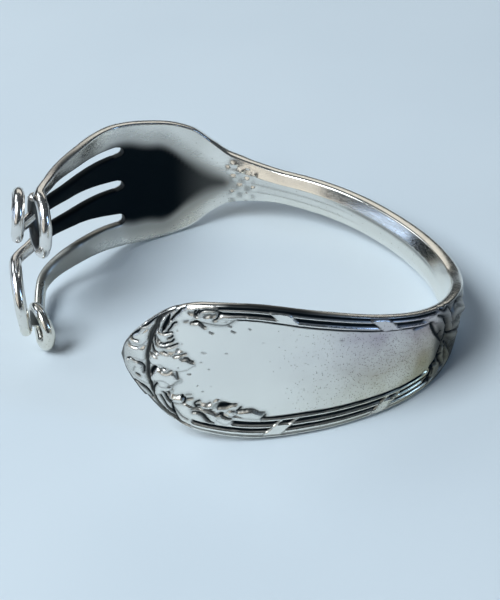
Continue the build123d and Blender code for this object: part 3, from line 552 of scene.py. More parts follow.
def close_to(u, v, rows, margin):
    """The corners inside the box round a line, as a mask, with their distances from the line and its
    half widths there: both are monotone cubics of the distance along the rows."""
    rows = np.array(rows)
    low, high = rows[:, :2].min(axis=0) - margin, rows[:, :2].max(axis=0) + margin
    at = (u > low[0]) & (u < high[0]) & (v > low[1]) & (v < high[1])
    reach = np.concatenate([[0.0], np.cumsum(np.hypot(*np.diff(rows[:, :2], axis=0).T))])
    t = np.linspace(0.0, reach[-1], max(8, round(reach[-1] / 0.06)))
    curve = smooth if len(rows) > 2 else lambda xs, ys, x: np.interp(x, xs, ys)
    line_u, line_v, half = [curve(reach, column, t) for column in rows.T]
    off = (u[at][:, None] - line_u) ** 2 + (v[at][:, None] - line_v) ** 2
    return at, np.sqrt(off.min(axis=-1)), half[off.argmin(axis=-1)]


def border(u, v):
    """Height and blackness of the reeds: a low step along the edge, less each groove's depth times
    the square of 1 less the squared distance from it, under the flat ribbons and their rims."""
    lower = v < 0
    spread = np.where(lower, np.interp(u, *zip(*LOWER_SPREAD)), np.interp(u, *zip(*UPPER_SPREAD)))
    inward = (half_width(u) - np.abs(v)) / spread
    end = np.where(lower, REEDS_END["lower"], REEDS_END["upper"])
    height = REED_HEIGHT * (1 - ease(inward, end - 0.05, end + 0.12)) * ease(inward, -0.1, 0.25)
    black = np.zeros_like(height)
    sides = {"lower": lower, "upper": ~lower}
    for edge, place, half, depth, dark, start, stop in GROOVES:
        share = np.abs(inward - place) / half
        fade = stretch(u, start - 0.25, start + 0.45, stop - 0.6, stop + 0.6) * sides[edge]
        height = height - depth * fade * np.clip(1 - (share / GROOVE_SHOULDER) ** 2, 0, 1) ** 2
        black = np.maximum(black, dark * fade * (1 - ease(share, 0.8, 1.4)))
    for edge, start, slant, width, near_edge, far, rim_far in RIBBONS:
        along = u - start - slant * inward
        face = past(along, 0, RIBBON_EDGE) * (1 - past(along, width, RIBBON_EDGE)) * sides[edge]
        face = face * past(inward, near_edge, RIBBON_EDGE) * (1 - past(inward, far, 0.1))
        length = ease(inward, near_edge, near_edge + 0.15) * (1 - past(inward, rim_far, 0.1))
        length = length * sides[edge]
        ends = np.minimum(np.abs(along - 0.1), np.abs(along - width + 0.1))
        rim = np.exp(-(ends / RIM_HALF) ** 2) * length
        bowed = REED_HEIGHT + RIBBON_LIFT - RIBBON_DIP * np.sin(np.pi * np.clip(along / width, 0, 1))
        height = np.maximum(height * (1 - face) + bowed * face, (REED_HEIGHT + RIM_LIFT) * rim)
        beside = np.minimum(np.abs(along + 0.22), np.abs(along - width - 0.22))
        black = np.maximum(black * (1 - np.maximum(face, rim)),
                           0.85 * np.exp(-(beside / RIM_SOOT_HALF) ** 2) * length)
    shown = stretch(u, *REEDED)
    return height * shown, black * shown


def relief(u, v):
    """Height and blackness of all the ornament above the plain front: the highest of the reeds and the
    leaves, less the deepest carved line. A leaf is a dome, its height times 1 less the squared share
    across, and lower where it is narrow. Tarnish fills the carved lines and fades out beside them in a
    grey halo, which is painted shade as well as tarnish, as is the dark at the leaves' feet. Painted
    shade darkens the tip's rim, the tip, and the crossing leaves, these less on their raised parts."""
    height, black = border(u, v)
    shell = 0.35 * (1 - ease(u, 3.2 + 0.02 * v ** 2, 4.4 + 0.03 * v ** 2)) * ease(u, -0.5, 1.5)
    height = np.maximum(height, shell * (np.abs(v) < 6))
    for rise, rows in RAISED.values():
        at, off, half = close_to(u, v, rows, 1.8)
        fullest = max(row[2] for row in rows)
        spread = LEAF_SPREAD * half
        level = LEAF_LEVEL * rise * np.sqrt(np.clip(half / fullest, 0, 1))
        level = level * np.clip(1 - (off / (spread + 0.08)) ** 2, 0, 1)
        under = LEAF_OVERLAP * np.minimum(height[at], level)
        height[at] = np.maximum(height[at], level) + under
        foot = np.exp(-((off - spread - 0.05) / FOOT_FADE) ** 2)
        black[at] = np.maximum(black[at], FOOT_SHADE_AND_TARNISH * foot * ease(rise, 0.2, 0.4))
    cut = np.zeros_like(height)
    for depth, dark, rows in CARVED.values():
        at, off, half = close_to(u, v, rows, 1.2)
        half = np.maximum((1.2 + 0.3 * ease(u[at], 43.0, 46.0)) * half, NARROWEST)
        share = off / half
        cut[at] = np.maximum(cut[at], depth * np.clip(1 - (share / CUT_SHOULDER) ** 2, 0, 1) ** 2)
        # The line's own black is tarnish; the grey halo beside it is painted shade as well
        tarnish_and_shade = np.maximum(1 - ease(share, 0.5, 1.45), 0.5 * np.exp(-(off / (half + 0.25)) ** 2))
        black[at] = np.maximum(black[at], min(1.15 * dark, 1.0) * tarnish_and_shade)
    for u0, v0, u1, v1, size, dark in PITS:
        at, off, half = close_to(u, v, [(u0, v0, size), (u1 + 0.01, v1, size)], 0.5)
        share = off / half
        cut[at] = np.maximum(cut[at], PIT_DEPTH * np.clip(1 - (share / 1.4) ** 2, 0, 1) ** 2)
        black[at] = np.maximum(black[at], dark * (1 - ease(share, 0.4, 1.3)))
    height = height - cut
    # Painted shade along the tip's rim, over the tip, and over the crossing leaves, less on their raised
    # parts
    rim = np.minimum(half_width(u) - np.abs(v), 0.9 * (u - TIP_START))
    rim = 0.85 * (1 - ease(rim, 0.25, 0.70)) * (1 - ease(u, 6.0, 10.0))
    painted_shade = (0.86 - 0.6 * np.clip(height, 0, 0.4)) * stretch(u, *SHADED_CROSSING_LEAVES)
    painted_shade = painted_shade + 0.36 * (1 - ease(u, 0.5, 5.0))
    bead = NECK_BEAD * np.exp(-((u - place_along("stem", 0.97)) / NECK_BEAD_LENGTH) ** 2)
    return height + bead, np.maximum.reduce([black, rim, painted_shade])


def panel_stain_and_shade(u, v):
    """How brown and dark the front is: growing along the plain field towards the stem, less near the
    reeds. It is tarnish, and painted shade for the darker floor that the field mirrors as it turns
    towards the stem.
    """
    share = np.abs(v) / half_width(u)
    return 0.06 + 0.86 * stretch(u, *STAINED_AND_SHADED) * (1 - 0.35 * ease(share, 0.55, 0.9))


def dark_sides(u, cosine, side):
    """Blackness of the panel's narrow sides: on the lower side the half next to the reeds, as painted
    shade under the bottom edge; on the upper side the half next to the reeds, and the other half too from
    17 to 28 mm."""
    if side == 0:
        return 0.5 * stretch(u, *LOWER_SIDE_BLACK) * ease(cosine, 0.2, 0.9)
    beside = (0.95 - 0.85 * ease(u, 25.0, 35.0)) * stretch(u, *UPPER_SIDE_BLACK)
    other = 0.85 * stretch(u, *UPPER_SIDE_OUTER_BLACK) * ease(cosine, -0.95, -0.6)
    return np.maximum(beside * ease(cosine, -0.35, 0.15), other)


def roof(u):
    """Grows from 0 to 1 where the panel's flat back becomes the stem's roof."""
    return ease(u, 0.8 * PANEL_LENGTH, place_along("stem", 0.2))


def crown(u, v):
    """How much thicker the metal is at (u, v) than at its edge: 1 less a power of the share across,
    a square on the panel and nearly straight on the stem's roof."""
    share = np.abs(v / half_width(u))
    return (middle_thickness(u) - edge_thickness(u)) * (1 - share ** (2 - 0.8 * roof(u)))


def plain_front(u, v):
    return dish(u, v) + edge_thickness(u) / 2 + FRONT_CROWN * crown(u, v)


def back_side(u, v):
    """The wrist side: the roof of the stem is cut flat over its middle two fifths, and small beads,
    a sine along times a sine across, stand on the neck."""
    flat = ROOF_FLAT * roof(u) * (1 - ease(u, SLOT_ROOT - 22, SLOT_ROOT - 14))
    full = (middle_thickness(u) - edge_thickness(u)) * (1 - flat)
    raised = (1 - FRONT_CROWN) * np.minimum(crown(u, v), full) + SMALL_BEADS * neck_beads(u, v)
    return dish(u, v) - edge_thickness(u) / 2 - raised


def neck_beads(u, v):
    """Share of the small beads' height."""
    along = stretch(u, place_along("stem", 0.89), place_along("stem", 0.92), 111.5, 113.0)
    across = 1 - ease(np.abs(v) / half_width(u), 0.6, 0.9)
    return along * across * np.clip(np.sin(2.5 * u) * np.sin(2.2 * v + 0.8) + 0.2, 0, 1)


def dark_reflection_and_tarnish(u, v):
    """How black the wrist side is, as tarnish and as a painted dark reflection of the room that the bowl
    mirrors: full within a reach either side of a middle line, both read from the table as shares of the
    half width, with a soft edge and a grey haze beyond it, more on the lower half. It thins out over the
    neck's half of the bowl, goes on as painted dark reflection in one corner and two lines of the stem,
    and darkens the hollows beside the neck's beads."""
    share = v / np.maximum(half_width(np.minimum(u, SLOT_ROOT)), 1.0)
    middle = read(DARK_REFLECTION_AND_TARNISH_BAND, u, lambda middle, reach: middle)
    away = np.abs(share - middle) + 0.03 * np.sin(0.6 * u + 1.0)
    reach = read(DARK_REFLECTION_AND_TARNISH_BAND, u, lambda middle, reach: reach)
    thin = 1 - ease(u, place_along("bowl", 0.12), place_along("bowl", 0.52))
    full = 1 - ease(away, reach - 0.18 - 0.14 * thin, reach + 0.14 + 0.35 * thin)
    full = full * ease(reach, 0.0, 0.25) * (1 - 0.09 * thin)
    haze = (1 - ease(away, reach, reach + 0.40)) * ease(reach, -0.1, 0.3)
    haze = haze * (0.38 + 0.16 * (share < 0))
    corner = 0.62 * np.exp(-((share - 0.30) / 0.13) ** 2) * stretch(u, *STEM_CORNER_BLACK)
    lines = np.exp(-((share - 0.02) / 0.07) ** 2) + np.exp(-((share + 0.42) / 0.07) ** 2)
    lines = 0.30 * lines * stretch(u, *STEM_LINES_BLACK)
    worn = 0.45 * neck_beads(u, v + 1.4) * (1 - ease(share, -0.1, 0.5))
    return np.maximum.reduce([full, haze, corner, lines, worn])


def run_of(name, share):
    """Middle across, width and step outwards of a tine at shares of the tines' reach."""
    rows = RUNS[name] + [(RUNS[name][-1][0] + 1.0, *RUNS[name][-1][1:])]
    xs, *columns = zip(*rows)
    across, width, step = [smooth(xs, column, share) for column in columns]
    return across * BOWL_HALF, width * TINE_WIDTH, step * TINE_WIDTH


def tine_lines():
    """Places across of the bowl's lines at the slots' roots: even over each tine and each slot."""
    ends = []
    for name in RUNS:
        across, width = run_of(name, 0.0)[:2]
        ends += [across - width / 2, across + width / 2]
    ends[0], ends[-1] = -half_width(SLOT_ROOT), half_width(SLOT_ROOT)
    cells = [TINE_CELLS, SLOT_CELLS] * 3 + [TINE_CELLS]
    marks = np.concatenate([[0], np.cumsum(cells)])
    return np.interp(np.arange(marks[-1] + 1), marks, ends)


def handle_rows():
    """Distances of the mesh's rows from the tip, for the panel and then for the stem and bowl."""
    fine = [np.linspace(a, b, round((b - a) / step) + 1)[:-1] for a, b, step in ROW_SPANS]
    neck, bowl = place_along("stem", 0.88), place_along("bowl", 0.10)
    coarse = [np.linspace(PANEL_LENGTH, neck, STEM_ROWS)[:-1],
              np.linspace(neck, bowl, NECK_ROWS)[:-1], np.linspace(bowl, SLOT_ROOT, BOWL_ROWS)]
    return np.concatenate(fine), np.concatenate(coarse)


def handle_lines(u):
    """Places across of the mesh's lines: even at the tip, close on the reeds, then by the tines."""
    width = half_width(u)[:, None]
    band = border_width(u)[:, None]
    reeds = band * np.linspace(0, 1, BORDER_CELLS + 1)
    field = (width - band) * np.linspace(-1, 1, FIELD_CELLS + 1)[1:-1]
    reeded = np.concatenate([reeds - width, field, width - reeds[:, ::-1]], axis=1)
    even = width * np.linspace(-1, 1, ACROSS + 1)
    tined = np.interp(np.arange(ACROSS + 1) / 2, np.arange(ACROSS // 2 + 1), tine_lines())
    tined = tined * width / half_width(SLOT_ROOT)
    to_reeds = stretch(u, 8.0, 20.0, 50.0, 60.0)[:, None]
    to_tines = ease(u, place_along("stem", 0.3), SLOT_ROOT)[:, None]
    return (even * (1 - to_reeds) + reeded * to_reeds) * (1 - to_tines) + tined * to_tines


class Skin:
    """Corners, faces, tarnish with painted shade, and stain of the closed surface."""

    def __init__(self):
        self.points, self.patina, self.stain, self.faces, self.count = [], [], [], [], 0

    def keep(self, xyz, patina=0.0, stain=0.1):
        """Adds corners and gives back their numbers in the same layout."""
        layout = np.shape(xyz)[:-1]
        flat = np.asarray(xyz, float).reshape(-1, 3)
        self.points.append(flat)
        self.patina.append(np.broadcast_to(patina, layout).reshape(-1))
        self.stain.append(np.broadcast_to(stain, layout).reshape(-1))
        self.count += len(flat)
        return (self.count - len(flat) + np.arange(len(flat))).reshape(layout)

    def strip(self, a, b):
        """Four-sided faces between rows of numbers a and b, for one pair of rows or many."""
        corners = [a[..., :-1], b[..., :-1], b[..., 1:], a[..., 1:]]
        self.faces.append(np.stack(corners, -1).reshape(-1, 4))

    def ring_strip(self, a, b):
        """The same between closed rings."""
        self.strip(np.concatenate([a, a[..., :1]], -1), np.concatenate([b, b[..., :1]], -1))

    def cap(self, ring, before, rise):
        """Closes a ring with a low dome: smaller rings by the cosine, standing out by the sine of
        its rise, away from the ring before."""
        points = np.concatenate(self.points)
        edge = points[ring]
        middle = edge.mean(axis=0)
        out = middle - points[before].mean(axis=0)
        out = out / np.linalg.norm(out) * rise
        for turn in np.radians([25, 50, 72]):
            # The dome's rings are painted grey, as shade at the tip and at the scrolls' ends
            smaller = self.keep(middle + (edge - middle) * np.cos(turn) + out * np.sin(turn), 0.35)
            self.ring_strip(ring, smaller)
            ring = smaller
        top = self.keep((middle + out)[None])
        self.faces.append(np.stack([ring, np.full_like(ring, top[0]), np.roll(ring, -1)], -1))


def edge_arc():
    """Shares of the rounding and of the half thickness at the points of a rounded edge."""
    turn = np.pi * np.arange(1, EDGE_CELLS) / EDGE_CELLS
    return np.sin(turn), np.cos(turn)


def slot_cells(k):
    """The lines from one side of a slot to its other side."""
    first = k * (TINE_CELLS + SLOT_CELLS) + TINE_CELLS
    return slice(first, first + SLOT_CELLS + 1)


def root_bow(along):
    """Moves the last 6 mm of the rows back at each slot: the slot's depth times a half circle's
    height across it times the square of the share along."""
    near_root = np.clip((along[:, :1] - SLOT_ROOT + BOW_LENGTH) / BOW_LENGTH, 0.0, 1.0) ** 2
    share = np.linspace(0, 1, SLOT_CELLS + 1)
    for k, depth in enumerate(SLOT_DEPTHS):
        along[:, slot_cells(k)] -= depth * near_root * 2 * np.sqrt(share * (1 - share))


def add_handle(skin):
    """Handle, stem and bowl as closed rings: front, upper edge, back, lower edge."""
    sine, cosine = edge_arc()
    rings, parts = [], []
    for u, front_every, back_every in zip(handle_rows(), (1, 2), (4, 2)):
        lines = handle_lines(u)
        front_v, back_v = lines[:, ::front_every], lines[:, ::back_every]
        front_u, back_u = [np.repeat(u[:, None], v.shape[1], axis=1) for v in (front_v, back_v)]
        if u[-1] == SLOT_ROOT:
            root_bow(front_u)
            root_bow(back_u)
        raised, black = relief(front_u, front_v)
        front_n = plain_front(front_u, front_v) + raised
        back_n = back_side(back_u, back_v)
        front = skin.keep(bend(front_u, front_v, front_n), black, panel_stain_and_shade(front_u, front_v))
        back = skin.keep(bend(back_u, back_v, back_n), dark_reflection_and_tarnish(back_u, back_v))
        edges = []
        for side, sign in ((0, -1.0), (-1, 1.0)):
            top, bottom = front_n[:, side][:, None], back_n[:, side][:, None]
            edge_v = sign * (half_width(u)[:, None] + EDGE_ROUND * sine)
            edge_n = (top + bottom) / 2 + (top - bottom) / 2 * cosine
            edge_u = np.broadcast_to(u[:, None], edge_v.shape)
            edges.append(skin.keep(bend(edge_u, edge_v, edge_n), dark_sides(edge_u, cosine, side)))
        low, high = edges
        rings.append(np.concatenate([front, high, back[:, ::-1], low[:, ::-1]], axis=1))
        skin.ring_strip(rings[-1][:-1], rings[-1][1:])
        parts.append((front, back, low, high))
    widen(skin, [part[-1] for part in parts[0]], [part[0] for part in parts[1]])
    skin.cap(rings[0][0][::-1], rings[0][3], 0.25)
    return [part[-1] for part in parts[1]], front_u[-1], front_v[-1]


def widen(skin, fine, coarse):
    """Joins the panel's last ring to the stem's first, where the number of lines changes, with
    five-sided faces on the front and on the back."""
    a_front, a_back, a_low, a_high = fine
    b_front, b_back, b_low, b_high = coarse
    for corners in ([a_front[:-1:2], b_front[:-1], b_front[1:], a_front[2::2], a_front[1::2]],
                    [a_back[1:], b_back[2::2], b_back[1::2], b_back[:-1:2], a_back[:-1]]):
        skin.faces.append(np.stack(corners, -1))
    for a, b in (([a_front[-1], *a_high, a_back[-1]], [b_front[-1], *b_high, b_back[-1]]),
                 ([a_back[0], *a_low[::-1], a_front[0]], [b_back[0], *b_low[::-1], b_front[0]])):
        skin.strip(np.array(a), np.array(b))


def tine_path(row):
    """Middle line of a tine in the flat: a straight run by the table, then an arc of the scroll's
    radius, with the section's width, thickness, rounding and step outwards."""
    name, radius, end_width, turn, tilt = row[:5]
    start = RUNS[name][-1][0]
    shares = np.linspace(0.0, start, round(start * TINE_REACH / TINE_STEP) + 1)
    across, width, step = run_of(name, shares)
    count = round(abs(turn) / SCROLL_STEP)
    angle = np.radians(np.linspace(0.0, turn, count + 1)[1:])
    rolled = np.arange(1, count + 1) / count
    curl = radius * TINE_WIDTH * np.sign(turn)
    u = SLOT_ROOT + shares * TINE_REACH
    u = np.concatenate([u, u[-1] + curl * np.sin(angle)])
    v = np.concatenate([across, across[-1] + curl * (1 - np.cos(angle))])
    direction = np.concatenate([0 * shares, angle])
    width = np.concatenate([width, width[-1] + (end_width * TINE_WIDTH - width[-1]) * rolled])
    step = np.concatenate([step, step[-1] - tilt * curl * np.sin(angle)])
    share = np.concatenate([shares / start, 1 + 0 * rolled])
    thick = BOWL_THICK + (SCROLL_THICK - BOWL_THICK) * share
    rounding = EDGE_ROUND + (SCROLL_ROUND - EDGE_ROUND) * ease(share, 0.0, 0.8)
    return u, v, direction, width, thick, rounding, step


def add_tine(skin, row, front, back, low, high):
    """One tine with its scroll: a flat section with half-ellipse edges carried along its path. Its wrist
    side and edges are painted black as far as the scroll, as a dark reflection, and the scroll is painted
    dark only inside its curl, as shade."""
    u, v, direction, width, thick, rounding, step = [x[1:, None] for x in tine_path(row)]
    sine, cosine = edge_arc()
    across = np.linspace(-1, 1, TINE_CELLS + 1)
    share = (u - SLOT_ROOT) / TINE_REACH
    straight = direction == 0
    inset = rounding - EDGE_ROUND * (1 - ease(share, 0.0, 0.3)) * straight
    flat = across * (width / 2 - inset)
    edge = width / 2 - inset + rounding * sine
    reach = np.concatenate([flat, edge, flat[:, ::-1], -edge[:, ::-1]], axis=1)
    swell = 1 - 0.12 * (rounding / SCROLL_ROUND) * across ** 2
    level = np.concatenate([swell, cosine * swell[:, -1:], -swell[:, ::-1],
                            cosine[::-1] * swell[:, :1]], axis=1)
    pu, pv = u - np.sin(direction) * reach, v + np.cos(direction) * reach
    pn = dish(pu, pv) + step + thick / 2 * level
    turn, dark = row[3], row[5]
    begin, full = (-0.35, 0.05) if dark == 1 else (0.02, 0.38)
    # The tine's wrist side is painted dark, going on with the bowl's painted dark reflection
    grey = dark * stretch(share, begin, full, 0.50, 0.66) * straight
    patina = np.maximum(dark_reflection_and_tarnish(pu, pv) * (share < 0.5), grey)
    patina[:, 1:TINE_CELLS] *= 0.25 * ease(share, 0.0, 0.5)
    # Painted shade inside the scroll's curl, with the tarnish that gathers there
    first = TINE_CELLS + 1 if turn > 0 else 2 * TINE_CELLS + 2 + len(sine)
    inner = slice(first, first + len(sine))
    patina[:, inner] = np.maximum(patina[:, inner], 0.9 * ease(np.abs(direction), 0.3, 0.8))
    rings = skin.keep(bend(pu, pv, pn), patina, 0.08 + 0.17 * ease(share, 0.1, 0.6) + 0 * pn)
    skin.ring_strip(np.concatenate([front, high, back[::-1], low[::-1]])[None], rings[:1])
    skin.ring_strip(rings[:-1], rings[1:])
    skin.cap(rings[-1], rings[-3], 0.5)


def add_slot_root(skin, front, back, u, v):
    """The rounded wall at a slot's root, from the front's line to the back's."""
    sine, cosine = [shares[:, None] for shares in edge_arc()]
    middle = v.mean()
    out = np.hypot(u - SLOT_ROOT, v - middle) + 1e-9
    tuck = 1 - EDGE_ROUND * sine / out
    pu, pv = SLOT_ROOT + (u - SLOT_ROOT) * tuck, middle + (v - middle) * tuck
    top, bottom = plain_front(u, v), back_side(u, v)
    pn = (top + bottom) / 2 + (top - bottom) / 2 * cosine
    # The back two thirds of the wall are painted black, going on with the wrist side's painted dark
    # reflection and shade
    walls = skin.keep(bend(pu, pv, pn), 0.95 * ease(-cosine, -0.9, -0.3) + 0 * pn)
    every = np.concatenate([front[None], walls, back[None]])
    skin.strip(every[:-1], every[1:])
    return walls


def fork_mesh():
    """The whole fork as one closed mesh, in millimetres."""
    skin = Skin()
    (front, back, low, high), along, across = add_handle(skin)
    edges = [low]
    for k in range(len(SLOT_DEPTHS)):
        cells = slot_cells(k)
        walls = add_slot_root(skin, front[cells], back[cells], along[cells], across[cells])
        edges += [walls[:, 0], walls[:, -1]]
    edges.append(high)
    for k, row in enumerate(SCROLLS):
        first = k * (TINE_CELLS + SLOT_CELLS)
        cells = slice(first, first + TINE_CELLS + 1)
        add_tine(skin, row, front[cells], back[cells], edges[2 * k], edges[2 * k + 1])
    return skin


def linear(code):
    """A #RRGGBB colour as linear red, green, blue and 1, by the sRGB curve."""
    parts = np.array([int(code[k:k + 2], 16) for k in (1, 3, 5)]) / 255
    flat = np.where(parts <= 0.04045, parts / 12.92, ((parts + 0.055) / 1.055) ** 2.4)
    return (*flat.tolist(), 1.0)


def add(material, kind, sockets=None, **settings):
    """Adds a node: sockets holds values, or (node, output) pairs to link."""
    tree = material.node_tree
    node = tree.nodes.new(kind)
    for name, value in settings.items():
        setattr(node, name, value)
    for name, value in (sockets or {}).items():
        if isinstance(value, tuple) and isinstance(value[0], bpy.types.Node):
            tree.links.new(value[0].outputs[value[1]], node.inputs[name])
        else:
            node.inputs[name].default_value = value
    return node


def new_material(name):
    material = bpy.data.materials.new(name)
    material.use_nodes = True
    material.node_tree.nodes.clear()
    return material


def silver_plate():
    """Electroplated silver on cast nickel silver, hand polished and worn. It mirrors the room with a soft
    haze. Silver sulphide blackens the carved lines and hollows and stains the panel brown towards the
    stem, where fine pits in the plate hold it too. The same blackening and stain also paint in shade and
    dark reflections: the dark room mirrored in the bowl, on the tines and on the stem's wrist side, shade
    over the tip, the crossing leaves, the narrow sides and the scrolls' curls, and the darker floor
    mirrored in the field towards the stem."""
    m = new_material("polished_silver_plate")
    place = add(m, "ShaderNodeTexCoord")
    tarnish_and_shade = add(m, "ShaderNodeAttribute", attribute_name="patina")
    stain = add(m, "ShaderNodeAttribute", attribute_name="stain")
    # Clouds of stain 4 to 10 mm across, yellow near the table and violet 14 mm above it
    cloud = add(m, "ShaderNodeTexNoise", {"Vector": (place, "Object"), "Scale": 160.0, "Detail": 3.0})
    patch = add(m, "ShaderNodeMapRange", {"Value": (cloud, "Fac"), "From Min": 0.35, "From Max": 0.65,
                                          "To Min": 0.55, "To Max": 1.15})
    brown = add(m, "ShaderNodeMath", {0: (stain, "Fac"), 1: (patch, "Result")},
                operation="MULTIPLY", use_clamp=True)
    level = add(m, "ShaderNodeSeparateXYZ", {"Vector": (place, "Object")})
    high = add(m, "ShaderNodeMapRange", {"Value": (level, "Z"), "From Min": 0.004, "From Max": 0.014,
                                         "To Min": 0.0, "To Max": 1.0})
    sulphide = add(m, "ShaderNodeMix", {"Factor": (high, "Result"), 6: linear("#B9AF8A"),
                                        7: linear("#958494")}, data_type="RGBA")
    plate = add(m, "ShaderNodeMix", {"Factor": (brown, "Value"), 6: linear("#F5F2EA"),
                                     7: (sulphide, 2)}, data_type="RGBA")
    # Pits 0.1 mm across in cells of 0.25 mm, in more of them where the stain is stronger
    pits = add(m, "ShaderNodeTexVoronoi", {"Vector": (place, "Object"), "Scale": 4000.0,
                                           "Randomness": 1.0})
    chance = add(m, "ShaderNodeSeparateColor", {"Color": (pits, "Color")})
    often = add(m, "ShaderNodeMath", {0: (stain, "Fac"), 1: 1.15, 2: -0.07},
                operation="MULTIPLY_ADD")
    here = add(m, "ShaderNodeMath", {0: (chance, "Red"), 1: (often, "Value")},
               operation="LESS_THAN")
    spot = add(m, "ShaderNodeMapRange", {"Value": (pits, "Distance"), "From Min": 0.14, "From Max": 0.38,
                                         "To Min": 0.68, "To Max": 0.0})
    pit = add(m, "ShaderNodeMath", {0: (spot, "Result"), 1: (here, "Value")}, operation="MULTIPLY")
    black = add(m, "ShaderNodeMath", {0: (tarnish_and_shade, "Fac"), 1: (pit, "Value")},
                operation="MAXIMUM", use_clamp=True)
    # A thin film of the sulphide is grey, a thick one blue-black; the painted shade and dark reflections
    # take the same colours
    film = add(m, "ShaderNodeMix", {"Factor": (black, "Value"), 6: linear("#40423F"),
                                    7: linear("#10181D")}, data_type="RGBA")
    colour = add(m, "ShaderNodeMix", {"Factor": (black, "Value"), 6: (plate, 2), 7: (film, 2)},
                 data_type="RGBA")
    # Rubbing marks 0.15 mm wide, drawn three times as coarse as the real ones so that they show
    rub = add(m, "ShaderNodeMapping", {"Vector": (place, "Object"), "Rotation": (0.3, 0.5, 0.2),
                                       "Scale": (300.0, 2500.0, 6000.0)})
    marks = add(m, "ShaderNodeTexNoise", {"Vector": (rub, "Vector"), "Scale": 1.0, "Detail": 2.0})
    polish = add(m, "ShaderNodeMapRange", {"Value": (marks, "Fac"), "From Min": 0.3, "From Max": 0.7,
                                           "To Min": 0.12, "To Max": 0.24})
    dull = add(m, "ShaderNodeMath", {0: (black, "Value"), 1: 0.35, 2: (polish, "Result")},
               operation="MULTIPLY_ADD")
    dents = add(m, "ShaderNodeMath", {0: (pit, "Value"), 1: -1.0, 2: (marks, "Fac")},
                operation="MULTIPLY_ADD")
    bump = add(m, "ShaderNodeBump", {"Height": (dents, "Value"), "Strength": 0.12,
                                     "Distance": 0.00003})
    shade = add(m, "ShaderNodeBsdfPrincipled", {"Base Color": (colour, 2), "Metallic": 1.0,
                                                "Roughness": (dull, "Value"), "Normal": (bump, "Normal")})
    add(m, "ShaderNodeOutputMaterial", {"Surface": (shade, "BSDF")})
    return m


def paper_sweep():
    """Matt white paper sweep under cool light: even, without gloss, with the faint cloudiness of
    paper 30 to 60 mm across and a tooth of 0.4 mm."""
    m = new_material("matt_paper_sweep")
    place = add(m, "ShaderNodeTexCoord")
    cloud = add(m, "ShaderNodeTexNoise", {"Vector": (place, "Object"), "Scale": 22.0, "Detail": 2.0})
    colour = add(m, "ShaderNodeMix", {"Factor": (cloud, "Fac"), 6: linear("#CDD6DB"),
                                      7: linear("#D6DEE2")}, data_type="RGBA")
    tooth = add(m, "ShaderNodeTexNoise", {"Vector": (place, "Object"), "Scale": 2500.0,
                                          "Detail": 2.0})
    bump = add(m, "ShaderNodeBump", {"Height": (tooth, "Fac"), "Strength": 0.15,
                                     "Distance": 0.00005})
    shade = add(m, "ShaderNodeBsdfPrincipled", {"Base Color": (colour, 2), "Roughness": 0.75,
                                                "Normal": (bump, "Normal")})
    add(m, "ShaderNodeOutputMaterial", {"Surface": (shade, "BSDF")})
    return m


def add_object(name, points, faces, material):
    """A mesh object from whole arrays, shaded smooth, with its place in its mesh."""
    mesh = bpy.data.meshes.new(name)
    mesh.from_pydata(points.tolist(), [], [face for part in faces for face in part.tolist()])
    mesh.materials.append(material)
    mesh.polygons.foreach_set("use_smooth", np.ones(len(mesh.polygons), bool))
    mesh.update()
    obj = bpy.data.objects.new(name, mesh)
    bpy.context.scene.collection.objects.link(obj)
    return obj


skin = fork_mesh()
places = lay_down(np.concatenate(skin.points)) * MM
lowest, highest = places.min(axis=0), places.max(axis=0)
cad_low, cad_high = np.array(cad_box[0]), np.array(cad_box[1])
places += [*((cad_low + cad_high - lowest - highest)[:2] / 2), cad_low[2] - lowest[2]]
fork = add_object("fork_cuff_dressed", places, skin.faces, silver_plate())
for name, values in (("patina", skin.patina), ("stain", skin.stain)):
    layer = fork.data.attributes.new(name, "FLOAT", "POINT")
    layer.data.foreach_set("value", np.concatenate(values).astype(np.float32))
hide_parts("fork_cuff")
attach(fork, "root")

# A square of 10 m, so that its far edge stays outside the photograph's view
FLOOR_HALF = 5.0
corners = FLOOR_HALF * np.array([[-1, -1, 0], [1, -1, 0], [1, 1, 0], [-1, 1, 0]])
floor = add_object("floor", corners, [np.array([[0, 1, 2, 3]])], paper_sweep())

# Soft boxes that stand for the windows and white walls: (name, place, size, watts, colour), metres
LIGHTS = [
    ("window_left", (-0.48, -0.27, 0.82), (0.56, 0.56), 10.7, "#E1ECF5"),
    ("window_back", (-0.63, 0.39, 0.67), (0.40, 0.40), 1.4, "#E1ECF5"),
    ("window_right", (1.03, -0.46, 0.41), (0.24, 0.40), 2.2, "#A6CEFF"),
    ("window_sill", (-1.10, -0.04, 0.27), (0.60, 0.28), 1.2, "#C4DCFF"),
    ("white_wall_left", (-0.38, -0.56, 0.50), (0.60, 0.45), 0.50, "#FFFAF0"),
    ("white_wall_low", (-0.72, -0.65, 0.25), (0.90, 0.26), 0.62, "#FCF9F0"),
    ("white_wall_back", (0.05, 0.98, 0.57), (1.20, 0.50), 1.6, "#F6F5EE"),
]


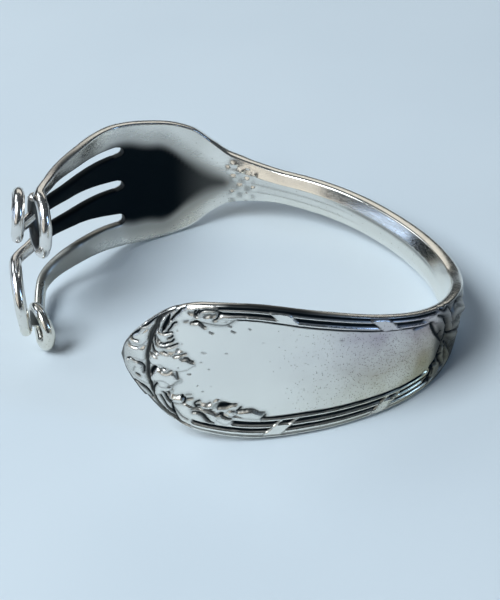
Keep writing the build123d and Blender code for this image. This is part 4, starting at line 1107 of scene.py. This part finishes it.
def add_light(name, place, size, watts, colour):
    """A rectangular soft box at a place, turned to the cuff."""
    data = bpy.data.lights.new(name, "AREA")
    data.shape = "RECTANGLE"
    data.size, data.size_y = size
    data.energy = watts
    data.color = linear(colour)[:3]
    back = np.array(place) / np.linalg.norm(place)
    across = np.cross([0, 0, 1.0], back)
    across /= np.linalg.norm(across)
    turn = np.stack([across, np.cross(back, across), back], axis=1)
    obj = bpy.data.objects.new(name, data)
    obj.matrix_world = Matrix([[*turn[i].tolist(), place[i]] for i in range(3)] + [[0, 0, 0, 1]])
    bpy.context.scene.collection.objects.link(obj)


for light in LIGHTS:
    add_light(*light)


def studio_air():
    """The room round the table: dark walls low down, paler towards the ceiling."""
    world = bpy.data.worlds.new("studio_air")
    world.use_nodes = True
    world.node_tree.nodes.clear()
    place = add(world, "ShaderNodeTexCoord")
    parts = add(world, "ShaderNodeSeparateXYZ", {"Vector": (place, "Generated")})
    height = add(world, "ShaderNodeMapRange", {"Value": (parts, "Z"), "From Min": 0.0,
                                               "From Max": 0.7, "To Min": 0.0, "To Max": 1.0})
    colour = add(world, "ShaderNodeMix", {"Factor": (height, "Result"), 6: linear("#7C858C"),
                                          7: linear("#B4C0CC")}, data_type="RGBA")
    air = add(world, "ShaderNodeBackground", {"Color": (colour, 2), "Strength": 0.14})
    add(world, "ShaderNodeOutputWorld", {"Surface": (air, "Background")})
    return world


bpy.context.scene.world = studio_air()
bpy.context.scene.view_settings.view_transform = "Standard"

# The photograph's viewing angle: 38 degrees above the floor, a little to the right, and rolled.
lens = bpy.data.cameras.new("photo_view")
lens.lens = 79.693
lens.clip_start, lens.clip_end = 0.01, 20.0
camera = bpy.data.objects.new("photo_view", lens)
camera.matrix_world = Matrix([[0.991192, 0.093414, 0.093871, 0.021448],
                              [0.015471, 0.622294, -0.782631, -0.163434],
                              [-0.131524, 0.777190, 0.615368, 0.130872],
                              [0, 0, 0, 1]])
bpy.context.scene.collection.objects.link(camera)
bpy.context.scene.camera = camera
